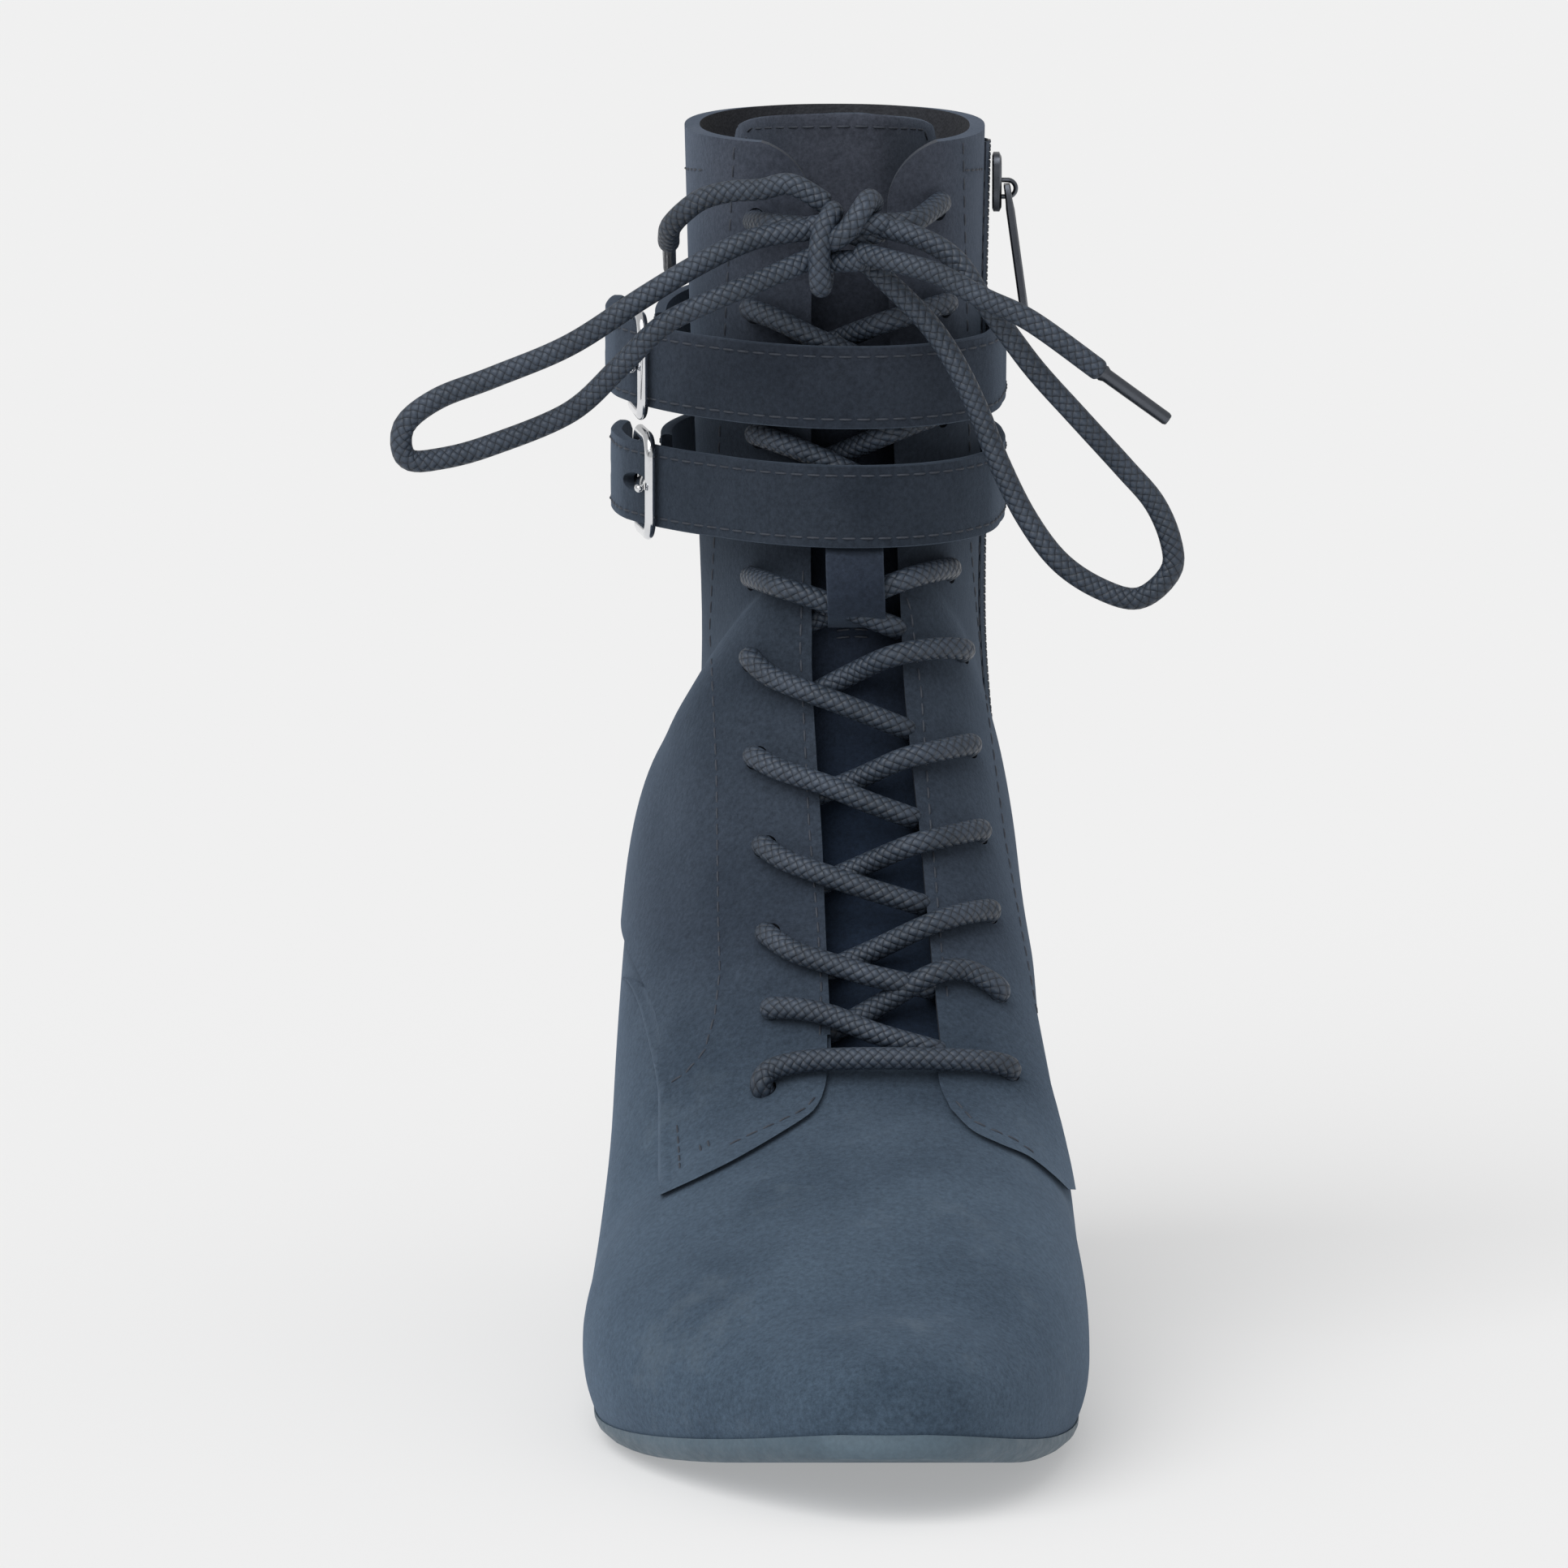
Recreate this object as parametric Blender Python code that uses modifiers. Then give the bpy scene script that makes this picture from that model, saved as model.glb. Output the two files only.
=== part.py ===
"""Lace up ankle boot with a block heel, two buckled ankle straps and a side zip (right shoe).

Metres, +Z up. The toe points along -Y and +X is the medial side. The origin is the centre of the
heel's flat tip, on the floor.
"""
import math
from collections import namedtuple

import bmesh
import bpy
import numpy as np
from mathutils import Matrix, Vector

MM = 0.001

# Driving sizes of the last and the upper
BOOT_LENGTH = 240 * MM        # heel back to toe tip, level
HEEL_OVERHANG = 28 * MM       # heel back behind the heel tip's centre
BALL_WIDTH = 88 * MM          # upper across the ball
HEEL_HEIGHT = 66 * MM         # floor to the heel seat
SHAFT_HEIGHT = 153 * MM       # heel seat to the collar
TOE_SPRING = 11.5 * MM
WALL = 1.8 * MM
OVERLAY = 1.0 * MM            # how far the quarters stand over the vamp
GAP = 0.3 * MM                # between pieces that touch

# Sole, insole and heel
SOLE_THICKNESS = 3.5 * MM
SOLE_GAP = 0.5 * MM
SOLE_LEDGE = 1.0 * MM         # the sole's edge beyond the feather line
TREAD_BACK = 0.60             # where the flat tread starts and ends, shares of the length
TREAD_FRONT = 0.66
INSOLE_THICKNESS = 2.0 * MM
INSOLE_CLEARANCE = 0.8 * MM
HEEL_TIP_LENGTH = 34 * MM
HEEL_TIP_WIDTH = 36 * MM
HEEL_SEAT_WIDTH = 57 * MM
HEEL_SEAT_INSET = 1.2 * MM    # the seat's back inside the boot's
HEEL_HOLLOW = 2.5 * MM        # how far the breast curves in
HEEL_BREAST = 0.215           # share of the length where the heel's breast meets the sole
TOP_PIECE = 4.5 * MM

# Throat, lacing and tongue
GAP_BOTTOM = 20.0 * MM        # between the facings, at the vamp and at the collar
GAP_TOP = 13.0 * MM
THROAT_FOOT = 8.2 * MM        # where the vamp's opening starts, under the first lace
FLAP_CORNER = 12 * MM         # rounding of the facings' upper corners
EYELET_INSET = 9.2 * MM       # facing edge to eyelet centre
EYELET_PITCH = 17.9 * MM
EYELET_START = 5.5 * MM       # throat bottom to the first eyelets
EYELET_SKEW = 4.2 * MM        # how much higher the medial eyelets sit
TOP_SKEW = 2.0 * MM           # the same above the tongue's loop
EYELET_RADIUS = 2.3 * MM
EYELET_CUT = 9 * MM           # depth of the cutter of an eyelet
LACE = 4.0 * MM               # lace diameter
TONGUE_THICKNESS = 1.6 * MM
TONGUE_DROP = 3.4 * MM        # tongue below the facings' inner side
TONGUE_RISE = 4 * MM          # tongue above the collar
TONGUE_SPREAD = 0.30          # share of the half girth on each side
TONGUE_TOP_SPREAD = 0.46      # the same at the collar
TONGUE_ROOT = 14 * MM         # tongue under the vamp, below the throat
TONGUE_SINK = 22 * MM         # length over which it sinks from the vamp to its own depth
TONGUE_LEAN = 8 * MM          # how much deeper its top lies
KEEPER_ROW = 6                # row of eyelets whose laces run under the tongue's loop
KEEPER_WIDTH = 8.5 * MM
KEEPER_THICKNESS = 1.0 * MM
KEEPER_HEIGHT = 16 * MM
KEEPER_SWELL = 11.7 * MM      # how far the loop stands off the tongue, over the laces

# Straps and buckles
STRAP_WIDTH = 15 * MM
STRAP_THICKNESS = 2.0 * MM
STRAP_HOLE = 1.7 * MM
LOWER_STRAP_Z = 154 * MM
UPPER_STRAP_Z = 175.5 * MM
UPPER_STRAP_TILT = 5 * MM     # rise of the upper strap towards the back
BUCKLE_BAR = 2.4 * MM
BUCKLE_HEIGHT = 20 * MM
PRONG = 1.5 * MM

# Zip on the medial side
ZIP_WIDTH = 5 * MM
ZIP_THICKNESS = 0.8 * MM
ZIP_Y = -5 * MM
ZIP_LIFT = 0.45 * MM
ZIP_BOTTOM = 84 * MM
SLIDER_HEIGHT = 11 * MM
SLIDER_THICKNESS = 1.7 * MM
SLIDER_DROP = 10.8 * MM       # collar to the slider's middle
PULL_LENGTH = 23 * MM
PULL_WIDTH = 6 * MM
PULL_THICKNESS = 1.6 * MM
PULL_TILT = 8                 # degrees outward at rest
PULL_WINDOW = 2.6 * MM        # width of the hole round the slider's bar

COLLAR_Z = HEEL_HEIGHT + SHAFT_HEIGHT
HALF_BALL = BALL_WIDTH / 2

# Sections of the last, toe tip to collar. Each runs in a plane from a base, on the feather line or
# the back seam, to a top on the front ridge. along: share of BOOT_LENGTH from the heel back.
# lift: share of the heel's pitch. rise: share of SHAFT_HEIGHT. lateral, medial, centre, ridge:
# shares of half the ball width. belly: where it is widest, base to top. sweep: degrees from the
# ridge to the base. square: roundness, 2 is an ellipse.
Section = namedtuple("Section", "top_along top_lift top_rise base_along base_rise "
                                "lateral medial centre ridge belly sweep square")
SECTIONS = [
    Section(1.000, 0.00, 0.004, 1.000, 0.004, 0.00, 0.00, 0.17, 0.00, 0.35, 105, 2.0),
    Section(0.992, 0.00, 0.062, 0.996, 0.000, 0.19, 0.19, 0.17, 0.00, 0.35, 105, 2.0),
    Section(0.971, 0.00, 0.096, 0.979, 0.000, 0.345, 0.345, 0.175, 0.00, 0.35, 107, 2.0),
    Section(0.933, 0.00, 0.128, 0.946, 0.000, 0.51, 0.50, 0.165, 0.01, 0.34, 109, 2.1),
    Section(0.883, 0.00, 0.158, 0.896, 0.000, 0.70, 0.67, 0.13, 0.04, 0.31, 111, 2.2),
    Section(0.817, 0.00, 0.212, 0.825, 0.000, 0.87, 0.85, 0.06, 0.11, 0.28, 112, 2.2),
    Section(0.742, 0.00, 0.258, 0.750, 0.000, 0.985, 0.965, 0.02, 0.16, 0.26, 112, 2.2),
    Section(0.667, 0.00, 0.300, 0.671, 0.000, 1.02, 1.005, 0.00, 0.19, 0.25, 112, 2.2),
    Section(0.583, 0.05, 0.327, 0.583, 0.000, 1.00, 0.985, 0.00, 0.205, 0.25, 114, 2.2),
    Section(0.521, 0.17, 0.350, 0.500, 0.000, 0.965, 0.96, 0.00, 0.19, 0.28, 120, 2.2),
    Section(0.4625, 0.32, 0.378, 0.408, 0.000, 0.93, 0.905, 0.00, 0.165, 0.30, 127, 2.1),
    Section(0.4125, 0.48, 0.400, 0.308, 0.000, 0.91, 0.835, 0.00, 0.145, 0.32, 129, 2.1),
    Section(0.373, 0.64, 0.428, 0.208, 0.000, 0.885, 0.775, 0.00, 0.115, 0.32, 125, 2.1),
    Section(0.346, 0.78, 0.460, 0.108, 0.000, 0.85, 0.74, 0.00, 0.09, 0.32, 122, 2.1),
    Section(0.334, 0.86, 0.494, 0.050, 0.000, 0.80, 0.71, 0.00, 0.085, 0.30, 134, 2.1),
    Section(0.326, 0.92, 0.523, 0.014, 0.000, 0.70, 0.675, 0.00, 0.077, 0.28, 154, 2.1),
    Section(0.320, 0.95, 0.551, -0.003, 0.027, 0.58, 0.635, 0.00, 0.075, 0.29, 180, 2.1),
    Section(0.314, 0.98, 0.632, -0.017, 0.181, 0.54, 0.59, 0.00, 0.07, 0.40, 180, 2.1),
    Section(0.310, 1.00, 0.745, -0.008, 0.423, 0.56, 0.59, 0.00, 0.06, 0.48, 180, 2.2),
    Section(0.310, 1.00, 0.872, -0.010, 0.705, 0.59, 0.59, 0.00, 0.057, 0.50, 180, 2.3),
    Section(0.3125, 1.00, 1.000, -0.033, 1.000, 0.61, 0.605, 0.00, 0.057, 0.50, 180, 2.3),
]
LAST_ROW = len(SECTIONS) - 1
BACK_ROW = 16                 # first section that closes at the back seam
THROAT_ROW = 8

# Lacing rows from the throat up, in pitches; the straps cover the wide steps
EYELET_ROWS = (0, 1, 2, 3, 4, 5, 6, 7.5, 8.52, 9.38)


# Front and lower edge of the quarters: share of BOOT_LENGTH from the heel back, and height as a
# share of SHAFT_HEIGHT
QUARTER_LINE = [(0.70, 0.43), (0.70, 0.19), (0.546, 0.20), (0.54, 0.245), (0.525, 0.30),
                (0.49, 0.37), (0.43, 0.43), (0.34, 0.475), (0.20, 0.50), (0.05, 0.54)]


# Where the facings and the lateral wing stop, seen from the front: x as a share of half the ball
# width and height as a share of SHAFT_HEIGHT, at FACING_PLANE. The line falls towards the back
FACING_LINE = [
    (-1.30, 0.519), (-0.905, 0.511), (-0.831, 0.496), (-0.782, 0.465), (-0.750, 0.420),
    (-0.714, 0.362), (-0.705, 0.305), (-0.711, 0.246), (-0.569, 0.265), (-0.411, 0.288),
    (-0.234, 0.318), (-0.105, 0.343), (-0.063, 0.361), (-0.043, 0.385), (-0.040, 0.435),
    (0.406, 0.435), (0.411, 0.380), (0.456, 0.347), (0.540, 0.322), (0.652, 0.306),
    (0.765, 0.292), (0.862, 0.271), (0.933, 0.252), (1.30, 0.245)]
FACING_PLANE = 0.575          # share of the length
FACING_FALL = 0.184           # drop for each unit towards the back
FACING_REACH = (-0.33, 0.22)  # how far the cut runs forward and back, shares of the length
CUT_MARGIN = 30 * MM          # how far a cutter reaches past the boot


def blended(column, u):
    """A Catmull-Rom curve through one column of the sections; the toe end is mirrored."""
    values = [getattr(s, column) for s in SECTIONS]
    i = min(max(int(math.floor(u)), 0), LAST_ROW - 1)
    t = u - i
    odd = column in ("lateral", "medial")
    before = values[i - 1] if i > 0 else (2 * values[0] - values[1] if odd else values[1])
    a, b = values[i], values[i + 1]
    after = values[i + 2] if i + 2 <= LAST_ROW else 2 * b - a
    if column == "sweep" and i + 1 >= BACK_ROW:
        after = b
    return 0.5 * (2 * a + (b - before) * t + (2 * before - 5 * a + 4 * b - after) * t * t
                  + (3 * a - before - 3 * b + after) * t ** 3)


def y_at(along):
    return HEEL_OVERHANG - along * BOOT_LENGTH


def seat_height(along):
    """Height of the feather line: the toe spring, the flat tread and the rise to the heel seat."""
    if along > TREAD_FRONT:
        return SOLE_THICKNESS + TOE_SPRING * ((along - TREAD_FRONT) / (1 - TREAD_FRONT)) ** 2
    if along > TREAD_BACK:
        return SOLE_THICKNESS
    t = min((TREAD_BACK - along) / TREAD_BACK, 1)
    return SOLE_THICKNESS + (HEEL_HEIGHT - SOLE_THICKNESS) * (3 * t * t - 2 * t ** 3)


def raw_point(u, v):
    """A point of the last: u is the section, v runs -1 lateral base, 0 ridge, 1 medial base."""
    row = {name: blended(name, u) for name in Section._fields}
    spring = seat_height(max(row["top_along"], TREAD_FRONT))
    pitch = HEEL_HEIGHT - SOLE_THICKNESS
    top = Vector((0, y_at(row["top_along"]),
                  spring + row["top_lift"] * pitch + row["top_rise"] * SHAFT_HEIGHT))
    base = Vector((0, y_at(row["base_along"]),
                   seat_height(row["base_along"]) + row["base_rise"] * SHAFT_HEIGHT))
    if u > LAST_ROW:
        over = (u - LAST_ROW) * TONGUE_RISE
        top.z, base.z = COLLAR_Z + over, COLLAR_Z + over
    sweep = math.radians(min(row["sweep"], 180))
    angle = sweep * abs(v)
    power = row["square"]

    def reach(a):
        return (abs(math.cos(a)) ** power + abs(math.sin(a)) ** power) ** (-1 / power)
    above = 1 - row["belly"]
    below = row["belly"] / max(reach(sweep) * abs(math.cos(sweep)), 1e-6)
    share = math.cos(angle) * reach(angle) * (above if math.cos(angle) > 0 else below)
    half = row["lateral"] if v < 0 else row["medial"]
    side = math.copysign(half * math.sin(angle) * reach(angle), v)
    lean = row["ridge"] * max(share / above, 0) ** 2
    point = base.lerp(top, row["belly"] + share)
    point.x = (row["centre"] + side + lean) * HALF_BALL
    return point


def normal_at(u, v):
    step = 0.02
    v = min(max(v, -1 + step), 1 - step)
    u = min(max(u, step), LAST_ROW - step)
    along = raw_point(u + step, v) - raw_point(u - step, v)
    across = raw_point(u, v + step) - raw_point(u, v - step)
    return across.cross(along).normalized()


def upper_point(u, v, lift=0.0):
    """A point off the skin; on the toe's and the back's seams both sides meet."""
    out = normal_at(u, v)
    if u < 1e-6:
        out = Vector((0, -1, 0))
    if u >= BACK_ROW and abs(v) > 0.999:
        out = Vector((0, out.y, out.z)).normalized()
    return raw_point(u, v) + out * lift


def side_at(u, x, low=-0.7, high=0.7):
    """v where section u has this x."""
    for _ in range(30):
        middle = (low + high) / 2
        if raw_point(u, middle).x < x:
            low = middle
        else:
            high = middle
    return (low + high) / 2


def ridge_lengths(first=THROAT_ROW, last=LAST_ROW, steps=200):
    """u and the length along the ridge from the first section."""
    us = [first + (last - first) * i / steps for i in range(steps + 1)]
    lengths = [0.0]
    for a, b in zip(us, us[1:]):
        lengths.append(lengths[-1] + (raw_point(b, 0) - raw_point(a, 0)).length)
    return us, lengths


RIDGE_U, RIDGE_S = ridge_lengths()
THROAT_LENGTH = RIDGE_S[-1]


def u_at(length):
    return float(np.interp(length, RIDGE_S, RIDGE_U))


def half_gap(length):
    """Half the width between the facings, with the rounded upper corners."""
    share = min(max(length / THROAT_LENGTH, 0), 1)
    width = (GAP_BOTTOM + (GAP_TOP - GAP_BOTTOM) * share) / 2
    t = min(max((length - (THROAT_LENGTH - FLAP_CORNER)) / FLAP_CORNER, 0), 1)
    return width + FLAP_CORNER * (1 - math.sqrt(1 - 0.98 * t * t))


def row_length(row, side=-1):
    skew = EYELET_SKEW if row <= KEEPER_ROW else TOP_SKEW
    return EYELET_START + EYELET_ROWS[row] * EYELET_PITCH + (skew if side > 0 else 0)


def straight_half(length):
    return (GAP_BOTTOM + (GAP_TOP - GAP_BOTTOM) * length / THROAT_LENGTH) / 2


def eyelet(row, side):
    """u and v of an eyelet; side is -1 lateral or 1 medial."""
    length = row_length(row, side)
    u = u_at(length)
    x = raw_point(u, 0).x + side * (straight_half(length) + EYELET_INSET)
    return u, side_at(u, x)


def clear_scene():
    for old in list(bpy.data.objects):
        bpy.data.objects.remove(old, do_unlink=True)


def collection(name):
    made = bpy.data.collections.new(name)
    bpy.context.scene.collection.children.link(made)
    return made


def material(name, colour, roughness, metallic=0.0):
    made = bpy.data.materials.new(name)
    made.use_nodes = True
    shader = made.node_tree.nodes["Principled BSDF"]
    shader.inputs["Base Color"].default_value = (*colour, 1)
    shader.inputs["Roughness"].default_value = roughness
    shader.inputs["Metallic"].default_value = metallic
    return made


def mesh_object(name, bm, home, look=None):
    mesh = bpy.data.meshes.new(name)
    bm.to_mesh(mesh)
    bm.free()
    made = bpy.data.objects.new(name, mesh)
    home.objects.link(made)
    if look:
        mesh.materials.append(look)
    mesh.shade_smooth()
    mesh.set_sharp_from_angle(angle=math.radians(40))
    return made


def loft(rings, closed=True, caps=True):
    """A skin through rings of points; caps close the first and last ring."""
    bm = bmesh.new()
    rows = [[bm.verts.new(p) for p in ring] for ring in rings]
    count = len(rings[0])
    for low, high in zip(rows, rows[1:]):
        for i in range(count if closed else count - 1):
            j = (i + 1) % count
            bm.faces.new((low[i], low[j], high[j], high[i]))
    if caps:
        bm.faces.new(reversed(rows[0]))
        bm.faces.new(rows[-1])
    bmesh.ops.remove_doubles(bm, verts=bm.verts, dist=1e-7)
    bmesh.ops.recalc_face_normals(bm, faces=bm.faces)
    return bm


def modifier(target, kind, **settings):
    made = target.modifiers.new(kind.title(), kind)
    for key, value in settings.items():
        setattr(made, key, value)
    return made


def boolean(target, operation, cutter):
    modifier(target, "BOOLEAN", operation=operation, object=cutter, solver="EXACT")


def hide_guide(target):
    target.hide_render = True
    target.display_type = "WIRE"
    return target


def smooth_points(points, count):
    """Points evenly spaced on a Catmull-Rom curve through the route's own points."""
    p = [Vector(q) for q in points]
    p = [2 * p[0] - p[1]] + p + [2 * p[-1] - p[-2]]
    fine = []
    for i in range(1, len(p) - 2):
        for k in range(12):
            t = k / 12
            fine.append(0.5 * (2 * p[i] + (p[i + 1] - p[i - 1]) * t
                               + (2 * p[i - 1] - 5 * p[i] + 4 * p[i + 1] - p[i + 2]) * t * t
                               + (3 * p[i] - p[i - 1] - 3 * p[i + 1] + p[i + 2]) * t ** 3))
    fine.append(p[-2])
    lengths = [0.0]
    for a, b in zip(fine, fine[1:]):
        lengths.append(lengths[-1] + (b - a).length)
    wanted = [lengths[-1] * i / (count - 1) for i in range(count)]
    return [Vector(np.array([np.interp(w, lengths, [q[axis] for q in fine]) for axis in range(3)]))
            for w in wanted]


def tube(name, points, diameter, home, look=None, sides=2):
    """A round tube on a poly spline, with filled and welded caps."""
    curve = bpy.data.curves.new(name, "CURVE")
    curve.dimensions = "3D"
    curve.bevel_depth = diameter / 2
    curve.bevel_resolution = sides
    curve.use_fill_caps = True
    spline = curve.splines.new("POLY")
    spline.points.add(len(points) - 1)
    for target, point in zip(spline.points, points):
        target.co = (*point, 1)
    shaped = bpy.data.objects.new(name + "_curve", curve)
    home.objects.link(shaped)
    graph = bpy.context.evaluated_depsgraph_get()
    mesh = bpy.data.meshes.new_from_object(shaped.evaluated_get(graph))
    bm = bmesh.new()
    bm.from_mesh(mesh)
    bmesh.ops.remove_doubles(bm, verts=bm.verts, dist=1e-6)
    bmesh.ops.recalc_face_normals(bm, faces=bm.faces)
    bpy.data.objects.remove(shaped, do_unlink=True)
    return mesh_object(name, bm, home, look)


def section_levels():
    """Rows of the upper's mesh: closer at the toe tip, the throat and the heel's back."""
    steps = [0.0, 0.5, 1.0, 1.5, 2.0, 2.6, 3.2, 4.0, 4.8, 5.7, 6.6, 7.4, 8.1, 8.9, 9.7, 10.6,
             11.5, 12.4, 13.2, 13.8, 14.4, 15.0, 15.5, 16.0, 16.5, 17.2, 18.0, 19.0, 20.0]
    return steps


ACROSS = [-1 + 2 * i / 26 for i in range(27)]


def upper_skin(levels, lift):
    """The last's skin from the sections: an open grid, closed at the toe and the back seam."""
    bm = bmesh.new()
    rows = []
    for u in levels:
        rows.append([bm.verts.new(upper_point(u, v, lift)) for v in ACROSS])
    for low, high in zip(rows, rows[1:]):
        for i in range(len(ACROSS) - 1):
            corners = [low[i], low[i + 1], high[i + 1], high[i]]
            bm.faces.new(corners)
    bmesh.ops.remove_doubles(bm, verts=bm.verts, dist=1e-5)
    bmesh.ops.dissolve_degenerate(bm, edges=bm.edges, dist=1e-6)
    bmesh.ops.recalc_face_normals(bm, faces=bm.faces)
    front = max(bm.faces, key=lambda f: f.calc_center_median().z - f.calc_center_median().y * 0.01)
    if front.normal.dot(front.calc_center_median() - Vector((0, 0, front.calc_center_median().z))) < 0:
        bmesh.ops.reverse_faces(bm, faces=bm.faces)
    return bm


def throat_cutter(home):
    """A thick strip along the front, as wide as the space between the facings."""
    rings = []
    deep = 12 * MM
    for length in [THROAT_FOOT + i * (THROAT_LENGTH - THROAT_FOOT) / 15 for i in range(14)] + [
            THROAT_LENGTH - FLAP_CORNER * s for s in (0.9, 0.6, 0.35, 0.15, 0.0, -0.4)]:
        u = u_at(length) + max(length - THROAT_LENGTH, 0) / TONGUE_RISE
        middle = raw_point(u, 0)
        out = normal_at(min(u, LAST_ROW), 0)
        half = half_gap(length)
        ring = []
        for side, depth in ((-1, -deep), (1, -deep), (1, deep), (-1, deep)):
            ring.append(middle + Vector((side * half, 0, 0)) + out * depth)
        rings.append(ring)
    return hide_guide(mesh_object("throat_cutter", loft(rings), home))


def eyelet_cutter(home):
    bm = bmesh.new()
    for row in range(len(EYELET_ROWS)):
        for side in (-1, 1):
            u, v = eyelet(row, side)
            turn = Vector((0, 0, 1)).rotation_difference(normal_at(u, v)).to_matrix().to_4x4()
            place = Matrix.Translation(upper_point(u, v)) @ turn
            bmesh.ops.create_cone(bm, cap_ends=True, segments=8, radius1=EYELET_RADIUS,
                                  radius2=EYELET_RADIUS, depth=EYELET_CUT, matrix=place)
    return hide_guide(mesh_object("eyelet_cutter", bm, home))


def quarter_cutter(home):
    """Side outline, in y and z, of what the quarters cover, pushed through the boot."""
    high = COLLAR_Z + CUT_MARGIN
    back = HEEL_OVERHANG + CUT_MARGIN
    outline = [(y_at(along), rise * SHAFT_HEIGHT) for along, rise in QUARTER_LINE]
    outline += [(back, outline[-1][1]), (back, high), (outline[0][0], high)]
    rings = [[Vector((x, y, z)) for y, z in outline] for x in (-BALL_WIDTH, BALL_WIDTH)]
    return hide_guide(mesh_object("quarter_cutter", loft(rings), home))


def facing_cutter(home):
    """Front outline of what the quarters leave free on the vamp, pushed back along its fall."""
    outline = [Vector((x * HALF_BALL, y_at(FACING_PLANE), z * SHAFT_HEIGHT)) for x, z in FACING_LINE]
    low = Vector((0, y_at(FACING_PLANE), -SHAFT_HEIGHT / 4))
    wide = Vector((HALF_BALL + CUT_MARGIN, 0, 0))
    outline += [low + wide, low - wide]
    rings = []
    for way in [share * BOOT_LENGTH for share in FACING_REACH]:
        rings.append([p + Vector((0, way, -way * FACING_FALL)) for p in outline])
    return hide_guide(mesh_object("facing_cutter", loft(rings), home))


def make_upper(home, cutters, look):
    levels = section_levels()
    upper = mesh_object("upper", upper_skin(levels, 0.0), home, look)
    modifier(upper, "SOLIDIFY", thickness=WALL, offset=-1)
    quarter = mesh_object("quarter_form", upper_skin(levels, OVERLAY), cutters)
    modifier(quarter, "SOLIDIFY", thickness=OVERLAY + WALL / 2, offset=-1)
    boolean(quarter, "INTERSECT", quarter_cutter(cutters))
    boolean(quarter, "DIFFERENCE", facing_cutter(cutters))
    hide_guide(quarter)
    boolean(upper, "UNION", quarter)
    boolean(upper, "DIFFERENCE", throat_cutter(cutters))
    boolean(upper, "DIFFERENCE", eyelet_cutter(cutters))
    return upper


def feather(u, side, inset=0.0):
    """The feather line, or a line inside it by a clearance."""
    return upper_point(u, side, -inset)


def sole_levels():
    return [0.0, 0.25, 0.5, 1.0, 1.5, 2.0, 2.6, 3.2, 4.0, 5.0, 6.0, 6.55, 7.2, 7.8, 8.4, 9.0, 9.6,
            10.3, 11.0, 11.8, 12.6, 13.2, 13.8, 14.3, 14.8, 15.2, 15.6, 15.85]


def plan_ring(inset):
    """Closed plan outline under the last: lateral side from toe to heel, and back along the medial."""
    levels = sole_levels()
    lateral = [feather(u, -1) for u in levels]
    medial = [feather(u, 1) for u in levels]
    outline = lateral + medial[:0:-1]
    count = len(outline)
    ring = []
    for i, point in enumerate(outline):
        before, after = outline[i - 1], outline[(i + 1) % count]
        run = Vector((after.x - before.x, after.y - before.y, 0)).normalized()
        out = Vector((-run.y, run.x, 0))
        ring.append(point - out * inset)
    middle = sum((p.x for p in ring)) / count
    if (ring[5] - Vector((middle, ring[5].y, 0))).x > 0:
        raise ValueError("the plan outline runs the wrong way")
    return ring


def plate(name, inset, top_gap, thickness, home, look):
    """A plate that follows the feather line's height, in cross strips from toe to heel."""
    ring = plan_ring(inset)
    half = len(sole_levels())
    lateral = ring[:half]
    medial = [ring[0]] + ring[:half - 1:-1]
    rings = []
    for left, right in zip(lateral, medial):
        strip = []
        for point, drop in ((left, 0), (right, 0), (right, thickness), (left, thickness)):
            along = (HEEL_OVERHANG - point.y) / BOOT_LENGTH
            height = seat_height(min(along, 1)) + top_gap - drop
            strip.append(Vector((point.x, point.y, height)))
        rings.append(strip)
    return mesh_object(name, loft(rings), home, look)


def under_sole(y):
    along = (HEEL_OVERHANG - y) / BOOT_LENGTH
    return seat_height(min(max(along, 0), 1)) - SOLE_THICKNESS


def heel_ring(share):
    """One level of the heel: share 0 under the sole, 1 at the tip."""
    count = 10
    seat_back, seat_front = HEEL_OVERHANG - HEEL_SEAT_INSET, y_at(HEEL_BREAST)
    tip = HEEL_TIP_LENGTH / 2
    ease = 1 - (1 - share) ** 2.2
    back = seat_back + (tip - seat_back) * ease
    front = seat_front + (-tip - seat_front) * ease
    half = (HEEL_SEAT_WIDTH + (HEEL_TIP_WIDTH - HEEL_SEAT_WIDTH) * ease) / 2
    centre = -0.02 * BALL_WIDTH * (1 - ease)
    rear_depth = min(half, (back - front) * 0.55)
    points = []
    for i in range(count + 1):
        a = math.pi * i / count
        points.append((centre + half * math.cos(a), back - rear_depth + rear_depth * math.sin(a)))
    hollow = HEEL_HOLLOW * (1 - ease)
    for i in range(5):
        t = i / 4
        x = centre - half + 2 * half * t
        points.append((x * 0.97 + centre * 0.03, front + hollow * math.sin(math.pi * t)))
    floor = TOP_PIECE + GAP
    ring = []
    for x, y in points:
        top = under_sole(y) - GAP
        ring.append(Vector((x, y, top + (floor - top) * share)))
    return ring


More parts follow.
